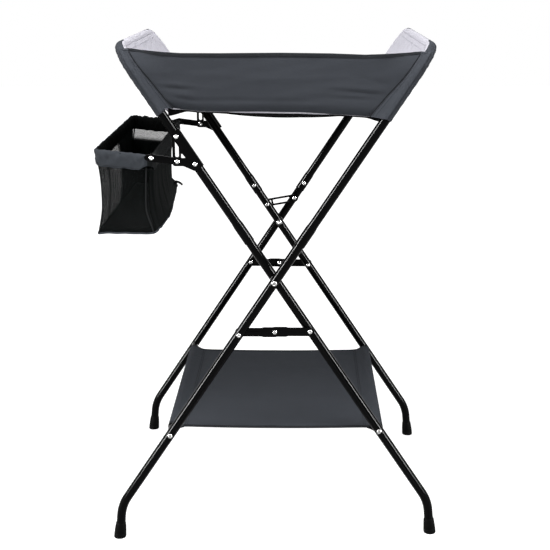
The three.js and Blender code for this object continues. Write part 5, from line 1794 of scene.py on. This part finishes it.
class TABLE_OT_stage(Operator):
    """Makes the pale floor, the soft light and the camera"""

    bl_idname = "changing_table.stage"
    bl_label = "Floor, light and camera"

    def execute(self, context):
        scene, stage = context.scene, context.scene.table_stage
        scene.view_settings.view_transform = "Standard"
        self.floor(stage)
        self.room(scene, stage)
        # The gleams are tall strips that only gloss and metal show, as a line along each tube.
        for name, place, height, size, share in (
                ("soft_box_overhead", (-0.3, -1.3, 3.3), 0.7, (2.2, 1.2), 1),
                ("soft_box_left", (-2.6, -2.2, 1.9), 0.7, (0.25, 2.4), 0.2),
                ("soft_box_right", (2.6, -1.6, 2.4), 0.7, (0.4, 1.6), 0.12),
                ("gleam_left", (-2.7, -1.25, 1.7), 0.65, (0.5, 2.6), 20.0),
                ("gleam_right", (2.7, -1.25, 1.7), 0.65, (0.5, 2.6), 15.0)):
            lamp = self.soft_box(name, place, height, size, share * stage.soft_box)
            lamp.visible_diffuse = not name.startswith("gleam")
        self.camera(scene, stage)
        return {"FINISHED"}

    def floor(self, stage):
        """A wide floor. The camera sees it as bright as the room, with the table's soft shadow."""
        mesh = bpy.data.meshes.new("studio_floor")
        size = 9.0
        mesh.from_pydata([(-size, -size, 0), (size, -size, 0), (size, size, 0), (-size, size, 0)],
                         [], [(0, 1, 2, 3)])
        tree, shader = material("studio_floor")
        feed(tree, shader, {
            "Base Color": rgba(stage.floor), "Roughness": 0.9, "Specular IOR Level": 0.1,
            "Emission Color": rgba((1, 1, 1)),
            "Emission Strength": maths(tree, "MULTIPLY", seen_directly(tree), 0.84)})
        mesh.materials.append(finish("studio_floor"))
        link("studio_floor", mesh)

    def room(self, scene, stage):
        """Even light all round, and plain white where a ray meets the room at once."""
        world = bpy.data.worlds.new("studio_room")
        scene.world = world
        world.use_nodes = True
        tree = world.node_tree
        tree.nodes.clear()
        room, white = (add(tree, "ShaderNodeBackground", (rgba((1, 1, 1)), strength)).outputs[0]
                       for strength in (stage.room_light, 1.0))
        both = add(tree, "ShaderNodeMixShader", (seen_directly(tree), room, white)).outputs[0]
        add(tree, "ShaderNodeOutputWorld", [both])

    def soft_box(self, name, place, height, size, power):
        """An oblong lamp that faces the table's middle at a height."""
        lamp = bpy.data.lights.new(name, "AREA")
        lamp.shape = "RECTANGLE"
        lamp.size, lamp.size_y = size
        lamp.energy = power
        piece = bpy.data.objects.new(name, lamp)
        bpy.context.scene.collection.objects.link(piece)
        piece.location = place
        aim = Vector((0, 0, height)) - Vector(place)
        piece.rotation_euler = aim.to_track_quat("-Z", "Y").to_euler()
        return piece

    def camera(self, scene, stage):
        """The camera stands in front, a little right of the middle and above the tub."""
        pitch, yaw, roll = 0.26, 0.021, 0.003
        forward = Vector((
            -math.sin(yaw) * math.cos(pitch), math.cos(yaw) * math.cos(pitch), -math.sin(pitch)))
        right = Vector((math.cos(yaw), math.sin(yaw), 0))
        up = right.cross(forward)
        turned = right * math.cos(roll) - up * math.sin(roll)
        raised = right * math.sin(roll) + up * math.cos(roll)
        lens = bpy.data.cameras.new("studio_camera")
        lens.lens, lens.sensor_width = stage.lens, 36.0
        lens.clip_start, lens.clip_end = 0.05, 60
        piece = bpy.data.objects.new("studio_camera", lens)
        scene.collection.objects.link(piece)
        rotation = Matrix((turned, raised, -forward)).transposed().to_4x4()
        place = into_row([48.57, -2555.07, 1174.2])
        piece.matrix_world = Matrix.Translation(place.tolist()) @ rotation
        scene.camera = piece


# ---------------------------------------------------------------- add-on


STEPS = (
    TABLE_OT_finishes, TABLE_OT_tubes, TABLE_OT_plates, TABLE_OT_fasteners, TABLE_OT_tub_ends,
    TABLE_OT_tub_walls, TABLE_OT_tub_floor, TABLE_OT_shelf, TABLE_OT_basket, TABLE_OT_stage)


class TABLE_PT_panel(Panel):
    """Lists the table's pieces and their settings"""

    bl_idname = "TABLE_PT_panel"
    bl_label = "Folding Changing Table"
    bl_space_type = "VIEW_3D"
    bl_region_type = "UI"
    bl_category = "Changing Table"

    def draw(self, context):
        for label, settings in (
                ("Tubes", context.scene.table_tubes), ("Fabric", context.scene.table_cloth),
                ("Stage", context.scene.table_stage)):
            box = self.layout.box()
            box.label(text=label)
            for key in type(settings).__annotations__:
                box.prop(settings, key)
        for step in STEPS:
            self.layout.operator(step.bl_idname)


CLASSES = (TubeSettings, ClothSettings, StageSettings, *STEPS, TABLE_PT_panel)


def register():
    for made in CLASSES:
        bpy.utils.register_class(made)
    bpy.types.Scene.table_tubes = PointerProperty(type=TubeSettings)
    bpy.types.Scene.table_cloth = PointerProperty(type=ClothSettings)
    bpy.types.Scene.table_stage = PointerProperty(type=StageSettings)


def unregister():
    for name in ("table_tubes", "table_cloth", "table_stage"):
        delattr(bpy.types.Scene, name)
    for made in reversed(CLASSES):
        bpy.utils.unregister_class(made)


def main():
    register()
    for step in STEPS:
        area, action = step.bl_idname.split(".")
        getattr(getattr(bpy.ops, area), action)()
    for shape in ("rivet_shape", "screw_shape", "shank_shape", "stitch_shape"):
        bpy.data.objects.remove(bpy.data.objects[shape])


if __name__ == "__main__":
    main()
